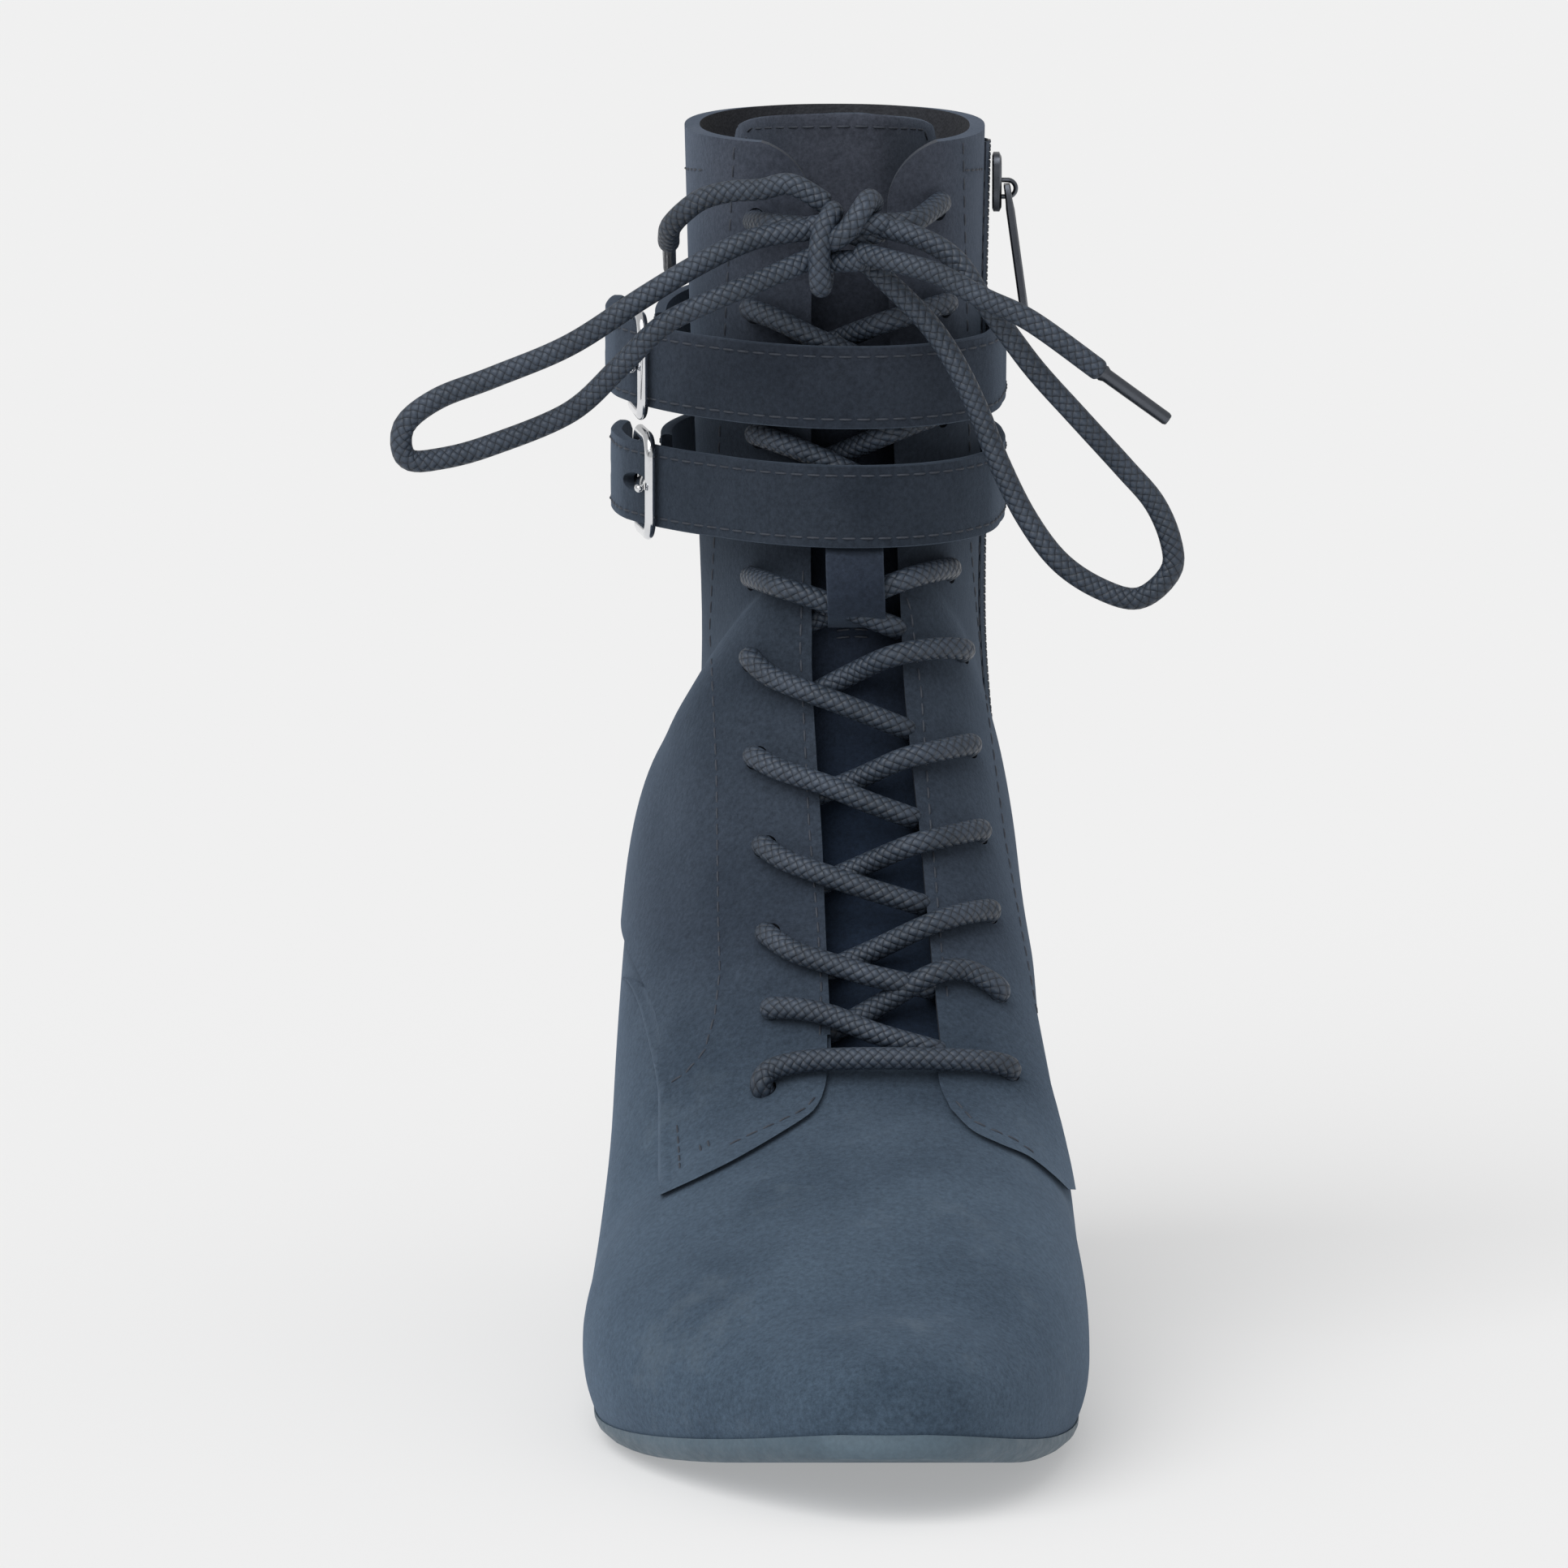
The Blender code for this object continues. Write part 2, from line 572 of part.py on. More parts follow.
def make_heel(home, look, rubber):
    heel = mesh_object("heel", loft([heel_ring(s) for s in (0, 0.12, 0.3, 0.55, 0.8, 1)]), home, look)
    outline = heel_ring(1)
    rings = [[Vector((p.x, p.y, z)) for p in outline] for z in (TOP_PIECE, 0)]
    top_piece = mesh_object("heel_top_piece", loft(rings), home, rubber)
    return heel, top_piece


def tongue_depth(length):
    """How far the tongue's outer face lies under the upper's outer skin."""
    seated = WALL + GAP
    t = min(max((length + 4 * MM) / TONGUE_SINK, 0), 1)
    lean = TONGUE_LEAN * max(length / THROAT_LENGTH - 0.72, 0) / 0.28
    return seated + TONGUE_DROP * t * t * (3 - 2 * t) + lean


def make_tongue(home, look):
    rings = []
    for length in [-TONGUE_ROOT + i * (THROAT_LENGTH + TONGUE_ROOT) / 17 for i in range(18)]:
        u = u_at(length) if length > 0 else THROAT_ROW + length / EYELET_PITCH
        rings.append(tongue_strip(u, length))
    rings.append(tongue_strip(LAST_ROW + 1.0, THROAT_LENGTH))
    return mesh_object("tongue", loft(rings), home, look)


def tongue_point(u, share, length, deeper=0.0):
    """A point of the tongue; share runs -1 to 1 across it. Near the top it widens and leans back."""
    t = min(max((length / THROAT_LENGTH - 0.6) / 0.4, 0), 1)
    spread = TONGUE_SPREAD + (TONGUE_TOP_SPREAD - TONGUE_SPREAD) * t * t * (3 - 2 * t)
    below = LAST_ROW - 1.5
    if u > below:
        u = below + (u - below) * (1 - 0.5 * share ** 4)
    lean = tongue_depth(length) - tongue_depth(0.6 * THROAT_LENGTH) if t > 0 else 0
    return upper_point(u, spread * share, -tongue_depth(length) + 0.8 * lean * share ** 2 - deeper)


def tongue_strip(u, length):
    across = [-1 + i / 5 for i in range(11)]
    outer = [tongue_point(u, share, length) for share in across]
    inner = [tongue_point(u, share, length, TONGUE_THICKNESS) for share in reversed(across)]
    return outer + inner


def make_keeper(home, look):
    """The loop on the tongue that the laces pass under."""
    length = row_length(KEEPER_ROW)
    half = KEEPER_WIDTH / 2
    rings = []
    for t in [i / 10 for i in range(11)]:
        place = length - KEEPER_HEIGHT * (0.91 - t)
        u = u_at(place)
        swell = KEEPER_SWELL * math.sin(math.pi * t) ** 0.3
        base = -tongue_depth(place) + GAP + swell
        middle, out = raw_point(u, 0), normal_at(u, 0)
        ring = []
        for side, lift in ((-1, base), (1, base), (1, base + KEEPER_THICKNESS),
                           (-1, base + KEEPER_THICKNESS)):
            ring.append(middle + Vector((side * half, 0, 0)) + out * lift)
        rings.append(ring)
    return mesh_object("tongue_keeper", loft(rings), home, look)


def skin_at_height(v, z, lift=0.0):
    """The skin's point at one v and height, found along the sections of the shaft."""
    low, high = 9.0, float(LAST_ROW)
    for _ in range(26):
        middle = (low + high) / 2
        if raw_point(middle, v).z < z:
            low = middle
        else:
            high = middle
    return upper_point(low, v, lift)


def skin_at_side(y, z, lift=0.0):
    """The medial skin's point at one y and height: sections lie one behind the other there."""
    low_u, high_u = 9.0, float(LAST_ROW)
    v = 0.5
    for _ in range(22):
        u = (low_u + high_u) / 2
        if raw_point(u, 0).z < z:
            low_u = u
            continue
        if raw_point(u, 1).z > z:
            high_u = u
            continue
        top, base = 0.0, 1.0
        for _ in range(22):
            v = (top + base) / 2
            if raw_point(u, v).z > z:
                top = v
            else:
                base = v
        if raw_point(u, v).y < y:
            low_u = u
        else:
            high_u = u
    return upper_point(low_u, v, lift)


# Strap route as (turn, stand off in strap thicknesses). Turn runs from the free end on the lateral
# side over the front (0) and the medial side (0.5) to the back (1) and on to the chape
STRAP_STANDS = [
    (-0.62, 7.0), (-0.52, 7.3), (-0.42, 6.8), (-0.32, 5.2), (-0.22, 3.8), (-0.10, 3.2), (0.0, 3.1),
    (0.10, 3.3), (0.18, 3.3), (0.26, 3.1), (0.35, 2.1), (0.50, 1.45), (0.70, 1.1), (0.85, 0.8),
    (1.0, 0.7), (1.15, 0.9), (1.30, 1.6), (1.45, 2.4), (1.555, 2.8)]
BUCKLE_FRONT = -0.335
BUCKLE_REAR = -0.435
PRONG_HOLE = -0.387


def strap_stand(turn):
    turns = [t for t, _ in STRAP_STANDS]
    stands = [s for _, s in STRAP_STANDS]
    return float(np.interp(turn, turns, stands)) * STRAP_THICKNESS


def strap_point(turn, middle_z, tilt, side=0.0, lift=0.0):
    """A point of a strap; side is across its width, -1 to 1, and lift off its middle line."""
    v = turn if turn <= 1 else turn - 2
    back = (1 - math.cos(math.pi * v)) / 2
    z = middle_z + tilt * back + side * STRAP_WIDTH / 2
    middle = skin_at_height(v, middle_z + tilt * back)
    middle.z = z
    flat = normal_at_height(v, middle_z + tilt * back)
    leaned = skin_at_height(v, z) - middle
    hug = max(1 - strap_stand(turn) / (4 * STRAP_THICKNESS), 0)
    return middle + Vector((leaned.x, leaned.y, 0)) * hug + flat * (
        OVERLAY + GAP + strap_stand(turn) + lift)


def normal_at_height(v, z):
    step = 0.02
    a = skin_at_height(max(v - step, -1), z)
    b = skin_at_height(min(v + step, 1), z)
    run = b - a
    out = Vector((run.y, -run.x, 0))
    if abs(v) > 1 - step:
        out = Vector((0, 1, 0))
    return out.normalized()


def strap_turns():
    first, last = STRAP_STANDS[0][0], STRAP_STANDS[-1][0]
    count = 44
    return [first + (last - first) * i / count for i in range(count + 1)]


def make_strap(name, middle_z, tilt, home, cutters, look):
    half = STRAP_THICKNESS / 2
    rings = []
    for i, turn in enumerate(strap_turns()):
        narrow = 0.72 if i == 0 else 1.0
        rings.append([strap_point(turn, middle_z, tilt, side, lift) for side, lift in (
            (-narrow, -half), (narrow, -half), (narrow, half), (-narrow, half))])
    strap = mesh_object(name, loft(rings), home, look)
    holes = bmesh.new()
    for turn, longer in ((PRONG_HOLE, 2.8), (-0.525, 1), (-0.575, 1)):
        centre = strap_point(turn, middle_z, tilt)
        out = (strap_point(turn, middle_z, tilt, 0, half) - centre).normalized()
        run = Vector((0, 0, 1)).cross(out)
        turned = Matrix((run, Vector((0, 0, 1)), out)).transposed().to_4x4()
        stretched = Matrix.Diagonal((longer, 1, 1, 1))
        bmesh.ops.create_cone(holes, cap_ends=True, segments=8, radius1=STRAP_HOLE,
                              radius2=STRAP_HOLE, depth=3 * STRAP_THICKNESS,
                              matrix=Matrix.Translation(centre) @ turned @ stretched)
    cutter = hide_guide(mesh_object(name + "_holes", holes, cutters))
    boolean(strap, "DIFFERENCE", cutter)
    return strap


def buckle_bars(middle_z, tilt):
    """Centres of the buckle's front bar, outside the strap, and its rear bar, under the strap."""
    shift = STRAP_THICKNESS / 2 + GAP + BUCKLE_BAR / 2
    front = strap_point(BUCKLE_FRONT, middle_z, tilt, 0, shift)
    rear = strap_point(BUCKLE_REAR, middle_z, tilt, 0, -shift)
    return front, rear


def make_buckle(name, middle_z, tilt, home, look):
    front, rear = buckle_bars(middle_z, tilt)
    half = (BUCKLE_HEIGHT - BUCKLE_BAR) / 2
    corner = 2.2 * MM
    along = (rear - front).normalized()
    up = Vector((0, 0, 1))
    points = []
    for base, toward, sign in ((front, along, 1), (rear, -along, 1), (rear, -along, -1),
                               (front, along, -1)):
        peak = base + up * half * sign
        down = peak - up * corner * sign
        inward = peak + toward * corner
        pair = [down, peak + (toward - up * sign) * corner * 0.3, inward]
        if (base is rear) == (sign > 0):
            pair.reverse()
        points.extend(pair)
    rings = []
    count = len(points)
    for i, point in enumerate(points):
        run = (points[(i + 1) % count] - points[i - 1]).normalized()
        side = run.cross(along.cross(up)).normalized()
        out = along.cross(up).normalized()
        rings.append([point + (side * math.cos(a) + out * math.sin(a)) * BUCKLE_BAR / 2
                      for a in [2 * math.pi * k / 8 for k in range(8)]])
    rings.append(rings[0])
    return mesh_object(name, loft(rings, caps=False), home, look)


def make_prong(name, middle_z, tilt, home, look):
    front, rear = buckle_bars(middle_z, tilt)
    out = (strap_point(BUCKLE_FRONT, middle_z, tilt, 0, 1 * MM)
           - strap_point(BUCKLE_FRONT, middle_z, tilt)).normalized()
    along = (rear - front).normalized()
    reach = BUCKLE_BAR / 2 + GAP + PRONG / 2
    tip = front + out * reach - along * 1.2 * MM
    root = rear - along * (reach + 0.1 * MM) - out * 0.4 * MM
    hole = strap_point(PRONG_HOLE, middle_z, tilt)
    return tube(name, [root, hole, front + out * reach + along * 1.0 * MM, tip], PRONG, home, look, 1)


def make_zip(home, look):
    """The zip's teeth and tape, a thin strip up the medial side."""
    rings = []
    low = OVERLAY + ZIP_LIFT
    for i in range(15):
        z = ZIP_BOTTOM + (COLLAR_Z - 3 * MM - ZIP_BOTTOM) * i / 14
        ring = []
        for side, lift in ((-1, low), (1, low), (1, low + ZIP_THICKNESS), (-1, low + ZIP_THICKNESS)):
            ring.append(skin_at_side(ZIP_Y + side * ZIP_WIDTH / 2, z, lift))
        rings.append(ring)
    return mesh_object("zip_teeth", loft(rings), home, look)


def slider_face():
    """Middle of the slider's back, just outside the zip."""
    z = COLLAR_Z - SLIDER_DROP
    lift = OVERLAY + ZIP_LIFT + ZIP_THICKNESS + GAP
    places = [skin_at_side(ZIP_Y, z + dz, lift) for dz in (-SLIDER_HEIGHT / 2, 0, SLIDER_HEIGHT / 2)]
    return Vector((max(p.x for p in places), ZIP_Y, z))


ARCH_INNER = 1.1 * MM
ARCH_BAR = 0.9 * MM


def pull_axis():
    face = slider_face()
    return face + Vector((SLIDER_THICKNESS + PULL_THICKNESS / 2 + GAP, 0, -1.2 * MM))


def box(bm, low, high):
    points = [(x, y, z) for x in (low[0], high[0]) for y in (low[1], high[1])
              for z in (low[2], high[2])]
    verts = [bm.verts.new(p) for p in points]
    for face in ((0, 1, 3, 2), (4, 6, 7, 5), (0, 4, 5, 1), (2, 3, 7, 6), (0, 2, 6, 4), (1, 5, 7, 3)):
        bm.faces.new([verts[i] for i in face])


def make_slider(home, cutters, look):
    face = slider_face()
    bm = bmesh.new()
    half = 4 * MM
    box(bm, (face.x, face.y - half, face.z - SLIDER_HEIGHT / 2),
        (face.x + SLIDER_THICKNESS, face.y + half, face.z + SLIDER_HEIGHT / 2))
    slider = mesh_object("zip_slider", bm, home, look)
    modifier(slider, "BEVEL", width=0.6 * MM, segments=1, limit_method="ANGLE")
    axis = pull_axis()
    rings = []
    for i in range(13):
        a = math.pi * (i / 12 - 0.5)
        reach = Vector((math.cos(a), 0, math.sin(a)))
        foot = Vector((-1.6 * MM, 0, 0)) if i in (0, 12) else Vector((0, 0, 0))
        wide = 0.9 * MM
        rings.append([axis + foot + reach * r + Vector((0, y, 0)) for r, y in (
            (ARCH_INNER, -wide), (ARCH_INNER, wide), (ARCH_INNER + ARCH_BAR, wide),
            (ARCH_INNER + ARCH_BAR, -wide))])
    arch = hide_guide(mesh_object("slider_arch", loft(rings), cutters))
    boolean(slider, "UNION", arch)
    return slider


def make_pull(home, cutters, look):
    """The pull tab, hinged on a bar inside the slider's arch; its origin is on that bar."""
    half, thick = PULL_WIDTH / 2, PULL_THICKNESS / 2
    length = PULL_LENGTH
    outline = [(-0.8 * MM, 0.80), (2 * MM, 1.0), (length * 0.55, 0.86), (length * 0.86, 1.0),
               (length - 1 * MM, 0.92), (length, 0.6)]
    rings = []
    for down, share in outline:
        slim = thick * (0.8 if down < 3 * MM else 1.0)
        rings.append([Vector((x, y, -down)) for x, y in (
            (-slim, -half * share), (-slim, half * share), (slim, half * share),
            (slim, -half * share))])
    pull = mesh_object("zip_pull", loft(rings), home, look)
    window = bmesh.new()
    near, far = 0.8 * MM, ARCH_INNER + ARCH_BAR + 0.5 * MM
    box(window, (-5 * MM, -PULL_WINDOW / 2, -far), (5 * MM, PULL_WINDOW / 2, -near))
    cutter = hide_guide(mesh_object("pull_window", window, cutters))
    boolean(pull, "DIFFERENCE", cutter)
    place = pull_axis()
    for item in (pull, cutter):
        item.location = place
        item.rotation_euler = (0, math.radians(-PULL_TILT), 0)
    return pull


def lace_point(length, x, lift):
    """A point over the lacing: length up the ridge, x from the ridge, lift off the skin."""
    u = u_at(length)
    middle = raw_point(u, 0)
    v = side_at(u, middle.x + x)
    return upper_point(u, v, lift)


ON_TOP = OVERLAY + 0.7 * MM + LACE / 2


def lace_run(row, side):
    """One lace from its eyelet across the throat and down beside the far facing."""
    start = row_length(row, side)
    drop = EYELET_PITCH
    half = straight_half(start)
    edge = half - LACE / 2 - 0.9 * MM
    over = side < 0
    middle = -0.6 * LACE
    if over:
        middle = (0.36 if row == KEEPER_ROW else 0.6) * LACE
    # shares of the pitch down, at the facing, its edge, two places in the gap and the far edge
    down = (0.16, 0.32, 0.43, 0.50, 0.58) if over else (0.03, 0.12, 0.27, 0.38, 0.51)
    if row == KEEPER_ROW:
        down = (0.16, 0.32, 0.42, 0.49, 0.57) if over else (0.14, 0.31, 0.45, 0.55, 0.67)
    stations = [
        (-(half + 0.5 * EYELET_INSET), ON_TOP + 0.05 * LACE),
        (-(half - 1.1 * MM), ON_TOP + (0.06 if over and row != KEEPER_ROW else -0.04) * LACE),
        (-0.25 * half, middle + (0 if over else 0.25 * MM)),
        (0.3 * half, middle),
        (edge, 0.1 * MM if over else -0.45 * LACE)]
    route = [(start, -(half + EYELET_INSET), ON_TOP)]
    route += [(start - share * drop, x, lift) for share, (x, lift) in zip(down, stations)]
    return [lace_point(s, -side * x, lift) for s, x, lift in route]


def make_laces(home, look):
    """The straight bar at the foot and the crossings, each a solid tube from eyelet to eyelet."""
    pieces = []
    first = row_length(0)
    half = straight_half(first) + EYELET_INSET
    bar = [lace_point(first + EYELET_SKEW * (t + 1) / 2, half * t, ON_TOP + 0.3 * LACE * (1 - t * t))
           for t in (-1, -0.6, -0.2, 0.2, 0.6, 1)]
    pieces.append(bar)
    for row in range(1, len(EYELET_ROWS) - 1):
        for side in (-1, 1):
            pieces.append(smooth_points(lace_run(row, side), 10))
    top = len(EYELET_ROWS) - 1
    for side in (-1, 1):
        length = row_length(top, side)
        near, close = straight_half(length), ON_TOP - 0.1 * MM
        start = lace_point(length, side * (near + EYELET_INSET), close)
        middle = lace_point(length, side * (near + 0.4 * EYELET_INSET), close)
        end = knot_middle() + at_knot((side * 8, 6.5, 0.5))
        pieces.append(smooth_points([start, middle, end], 7))
    for number, points in enumerate(pieces):
        tube("lace_%02d" % number, points, LACE, home, look, 1)


# Bow: route points in millimetres from the middle of the knot
LEFT_LOOP = [
    (-8, -1, 1), (-15, -2.5, -0.5), (-21, -4, -2.5), (-28, -5, -6), (-37, -5, -11.5), (-50, -4, -20),
    (-64, -3, -26), (-74, -2, -30), (-80, -2, -35), (-79.5, -1, -41), (-73, 0, -41),
    (-64, 0, -38.5), (-50, -1, -32.5), (-41, -4, -24), (-33, -7, -16), (-23, -8, -11),
    (-15, -5.5, -8), (-7, -2, -6)]
RIGHT_LOOP = [
    (7, -3, -5.5), (13.5, -7, -7), (21, -9, -10), (27, -10, -16), (33, -10, -22.5),
    (41.5, -8, -32.5), (50, -6, -42), (55.5, -5, -48.5), (58.5, -5, -55.5), (58.5, -5, -61),
    (53, -4, -66), (46, -3, -64.5), (38.5, -3, -59.5), (32.5, -3, -51.5), (27.5, -3, -41.5),
    (23.5, -3, -31.5), (19, -3, -22.5), (13.5, -1.5, -15), (5, 0.5, -8)]
LEFT_END = [
    (-5, 2, 7.5), (-10, 1.5, 8.5), (-15.5, 2.5, 7.5), (-21, 4, 7), (-26, 6, 5.5), (-29.5, 8.5, 2.8),
    (-31.8, 12, 0), (-32.3, 16, -2.2), (-32.3, 20.5, -4.2)]
RIGHT_END = [
    (7.5, -3, 2), (12.5, -6.5, 0.8), (18, -10.5, -4.5), (25, -14.5, -9), (33, -15.5, -14.5),
    (46, -14.5, -24)]
AGLET_LENGTH = 14.5 * MM
AGLET = 2.5 * MM
KNOT_SIZE = (6.2 * MM, 4.8 * MM, 7.0 * MM)


def knot_middle():
    """The knot stands off the lacing a little under the top eyelets."""
    length = row_length(len(EYELET_ROWS) - 1) - 2.5 * MM
    front = raw_point(u_at(length), 0)
    return front + Vector((-0.6 * MM, -(ON_TOP + LACE / 2 + KNOT_SIZE[1] + GAP), 0))


def at_knot(way):
    """Offset from the knot's middle to just off its surface, toward a route point."""
    run = Vector(way).normalized()
    size = sum((c / s) ** 2 for c, s in zip(run, KNOT_SIZE)) ** -0.5
    return run * (size + 2 * GAP)


def bow_cord(name, route, home, look, count, both=False):
    middle = knot_middle()
    places = [middle + Vector(p) * MM for p in route]
    places[0] = middle + at_knot(route[0])
    if both:
        places[-1] = middle + at_knot(route[-1])
    points = smooth_points(places, count)
    return tube(name, points, LACE, home, look, 1)


def make_aglet(name, route, home, look):
    """The hard tip, one lace gap beyond the cord's end and in line with it."""
    middle = knot_middle()
    end = middle + Vector(route[-1]) * MM
    run = (Vector(route[-1]) - Vector(route[-2])).normalized()
    start = end + run * GAP
    return tube(name, [start, start + run * AGLET_LENGTH / 2, start + run * AGLET_LENGTH], AGLET,
                home, look, 1)


def make_knot(home, look):
    bm = bmesh.new()
    bmesh.ops.create_icosphere(bm, subdivisions=2, radius=1.0)
    middle = knot_middle()
    for vert in bm.verts:
        vert.co = Vector([c * s for c, s in zip(vert.co, KNOT_SIZE)]) + middle
    return mesh_object("bow_knot", bm, home, look)


def main():
    clear_scene()
    home = collection("lace_up_ankle_boot")
    cutters = collection("cutters")
    suede = material("suede", (0.030, 0.034, 0.046), 0.92)
    suede_lining = material("tongue_suede", (0.028, 0.032, 0.042), 0.92)
    rubber = material("sole_rubber", (0.085, 0.125, 0.165), 0.7)
    board = material("insole_board", (0.10, 0.09, 0.08), 0.85)
    cord = material("waxed_lace", (0.020, 0.021, 0.026), 0.55)
    chrome = material("buckle_chrome", (0.62, 0.63, 0.65), 0.22, 1.0)
    gunmetal = material("zip_gunmetal", (0.10, 0.10, 0.11), 0.35, 1.0)
    tape = material("zip_tape", (0.018, 0.019, 0.024), 0.8)

    make_upper(home, cutters, suede)
    plate("outsole", -SOLE_LEDGE, -SOLE_GAP, SOLE_THICKNESS - SOLE_GAP, home, rubber)
    plate("insole", WALL + INSOLE_CLEARANCE, INSOLE_THICKNESS, INSOLE_THICKNESS, home, board)
    make_heel(home, suede, rubber)
    make_tongue(home, suede_lining)
    make_keeper(home, suede_lining)
    for name, z, tilt in (("lower", LOWER_STRAP_Z, 2 * MM), ("upper", UPPER_STRAP_Z, UPPER_STRAP_TILT)):
        make_strap(name + "_strap", z, tilt, home, cutters, suede)
        make_buckle(name + "_buckle", z, tilt, home, chrome)
        make_prong(name + "_buckle_prong", z, tilt, home, chrome)
    make_zip(home, tape)
    make_slider(home, cutters, gunmetal)
    make_pull(home, cutters, gunmetal)
    make_laces(home, cord)
    make_knot(home, cord)
    bow_cord("bow_loop_left", LEFT_LOOP, home, cord, 26, True)
    bow_cord("bow_loop_right", RIGHT_LOOP, home, cord, 28, True)
    bow_cord("lace_end_left", LEFT_END, home, cord, 14)
    bow_cord("lace_end_right", RIGHT_END, home, cord, 10)
    make_aglet("aglet_left", LEFT_END, home, gunmetal)
    make_aglet("aglet_right", RIGHT_END, home, gunmetal)


main()
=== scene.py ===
"""Looks of the lace up ankle boot."""
import math
from collections import namedtuple
from functools import lru_cache

import bmesh
import bpy
import numpy as np
from mathutils import Matrix, Vector
from mathutils.bvhtree import BVHTree


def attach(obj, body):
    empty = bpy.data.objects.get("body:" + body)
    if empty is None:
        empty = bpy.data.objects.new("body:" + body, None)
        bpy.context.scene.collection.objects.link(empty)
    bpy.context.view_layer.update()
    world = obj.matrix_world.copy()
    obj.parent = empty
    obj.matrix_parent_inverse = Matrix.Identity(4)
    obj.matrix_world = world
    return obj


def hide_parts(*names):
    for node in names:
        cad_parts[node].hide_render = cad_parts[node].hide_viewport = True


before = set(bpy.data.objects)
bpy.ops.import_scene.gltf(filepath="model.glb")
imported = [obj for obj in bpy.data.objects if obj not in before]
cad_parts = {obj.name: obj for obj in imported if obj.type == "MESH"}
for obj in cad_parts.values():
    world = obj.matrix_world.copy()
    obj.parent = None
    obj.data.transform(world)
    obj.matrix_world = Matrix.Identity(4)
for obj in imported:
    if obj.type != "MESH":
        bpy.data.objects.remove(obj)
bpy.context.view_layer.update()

MM = 0.001

# Driving sizes of the last and the upper
BOOT_LENGTH = 240 * MM        # heel back to toe tip, level
HEEL_OVERHANG = 28 * MM       # heel back behind the heel tip's centre
BALL_WIDTH = 88 * MM          # upper across the ball
HEEL_HEIGHT = 66 * MM         # floor to the heel seat
SHAFT_HEIGHT = 153 * MM       # heel seat to the collar
TOE_SPRING = 11.5 * MM
WALL = 1.8 * MM
OVERLAY = 1.0 * MM            # how far the quarters stand over the vamp
GAP = 0.3 * MM                # between pieces that touch

# Sole, insole and heel
SOLE_THICKNESS = 3.5 * MM
SOLE_LEDGE = 1.0 * MM         # the sole's edge beyond the feather line
TREAD_BACK = 0.60             # where the flat tread starts and ends, shares of the length
TREAD_FRONT = 0.66
INSOLE_THICKNESS = 2.0 * MM
INSOLE_CLEARANCE = 0.8 * MM
HEEL_TIP_LENGTH = 34 * MM
HEEL_TIP_WIDTH = 36 * MM
HEEL_SEAT_WIDTH = 57 * MM
HEEL_SEAT_INSET = 1.2 * MM    # the seat's back inside the boot's
HEEL_HOLLOW = 2.5 * MM        # how far the breast curves in
HEEL_BREAST = 0.215           # share of the length where the heel's breast meets the sole
TOP_PIECE = 4.5 * MM

# Throat, lacing and tongue
GAP_BOTTOM = 20.0 * MM        # between the facings, at the vamp and at the collar
GAP_TOP = 13.0 * MM
THROAT_FOOT = 8.2 * MM        # where the vamp's opening starts, under the first lace
FLAP_CORNER = 12 * MM         # rounding of the facings' upper corners
EYELET_INSET = 9.2 * MM       # facing edge to eyelet centre
EYELET_PITCH = 17.9 * MM
EYELET_START = 5.5 * MM       # throat bottom to the first eyelets
EYELET_SKEW = 4.2 * MM        # how much higher the medial eyelets sit
TOP_SKEW = 2.0 * MM           # the same above the tongue's loop
EYELET_RADIUS = 2.3 * MM
EYELET_CUT = 9 * MM           # depth of the cutter of an eyelet
LACE = 4.0 * MM               # lace diameter
TONGUE_THICKNESS = 1.6 * MM
TONGUE_DROP = 3.4 * MM        # tongue below the facings' inner side
TONGUE_RISE = 4 * MM          # tongue above the collar
TONGUE_SPREAD = 0.30          # share of the half girth on each side
TONGUE_TOP_SPREAD = 0.46      # the same at the collar
TONGUE_ROOT = 14 * MM         # tongue under the vamp, below the throat
TONGUE_SINK = 22 * MM         # length over which it sinks from the vamp to its own depth
TONGUE_LEAN = 8 * MM          # how much deeper its top lies
KEEPER_ROW = 6                # row of eyelets whose laces run under the tongue's loop
KEEPER_WIDTH = 8.5 * MM
KEEPER_THICKNESS = 1.0 * MM
KEEPER_HEIGHT = 16 * MM
KEEPER_SWELL = 11.7 * MM      # how far the loop stands off the tongue, over the laces

# Straps and buckles
STRAP_WIDTH = 15 * MM
STRAP_THICKNESS = 2.0 * MM
STRAP_HOLE = 1.7 * MM
LOWER_STRAP_Z = 154 * MM
UPPER_STRAP_Z = 175.5 * MM
UPPER_STRAP_TILT = 5 * MM     # rise of the upper strap towards the back
BUCKLE_BAR = 2.4 * MM
BUCKLE_HEIGHT = 20 * MM
PRONG = 1.5 * MM

# Zip on the medial side
ZIP_WIDTH = 5 * MM
ZIP_THICKNESS = 0.8 * MM
ZIP_Y = -5 * MM
ZIP_LIFT = 0.45 * MM
ZIP_BOTTOM = 84 * MM
SLIDER_HEIGHT = 11 * MM
SLIDER_THICKNESS = 1.7 * MM
SLIDER_DROP = 10.8 * MM       # collar to the slider's middle
PULL_LENGTH = 23 * MM
PULL_WIDTH = 6 * MM
PULL_THICKNESS = 1.6 * MM
PULL_TILT = 8                 # degrees outward at rest
PULL_WINDOW = 2.6 * MM        # width of the hole round the slider's bar

COLLAR_Z = HEEL_HEIGHT + SHAFT_HEIGHT
HALF_BALL = BALL_WIDTH / 2

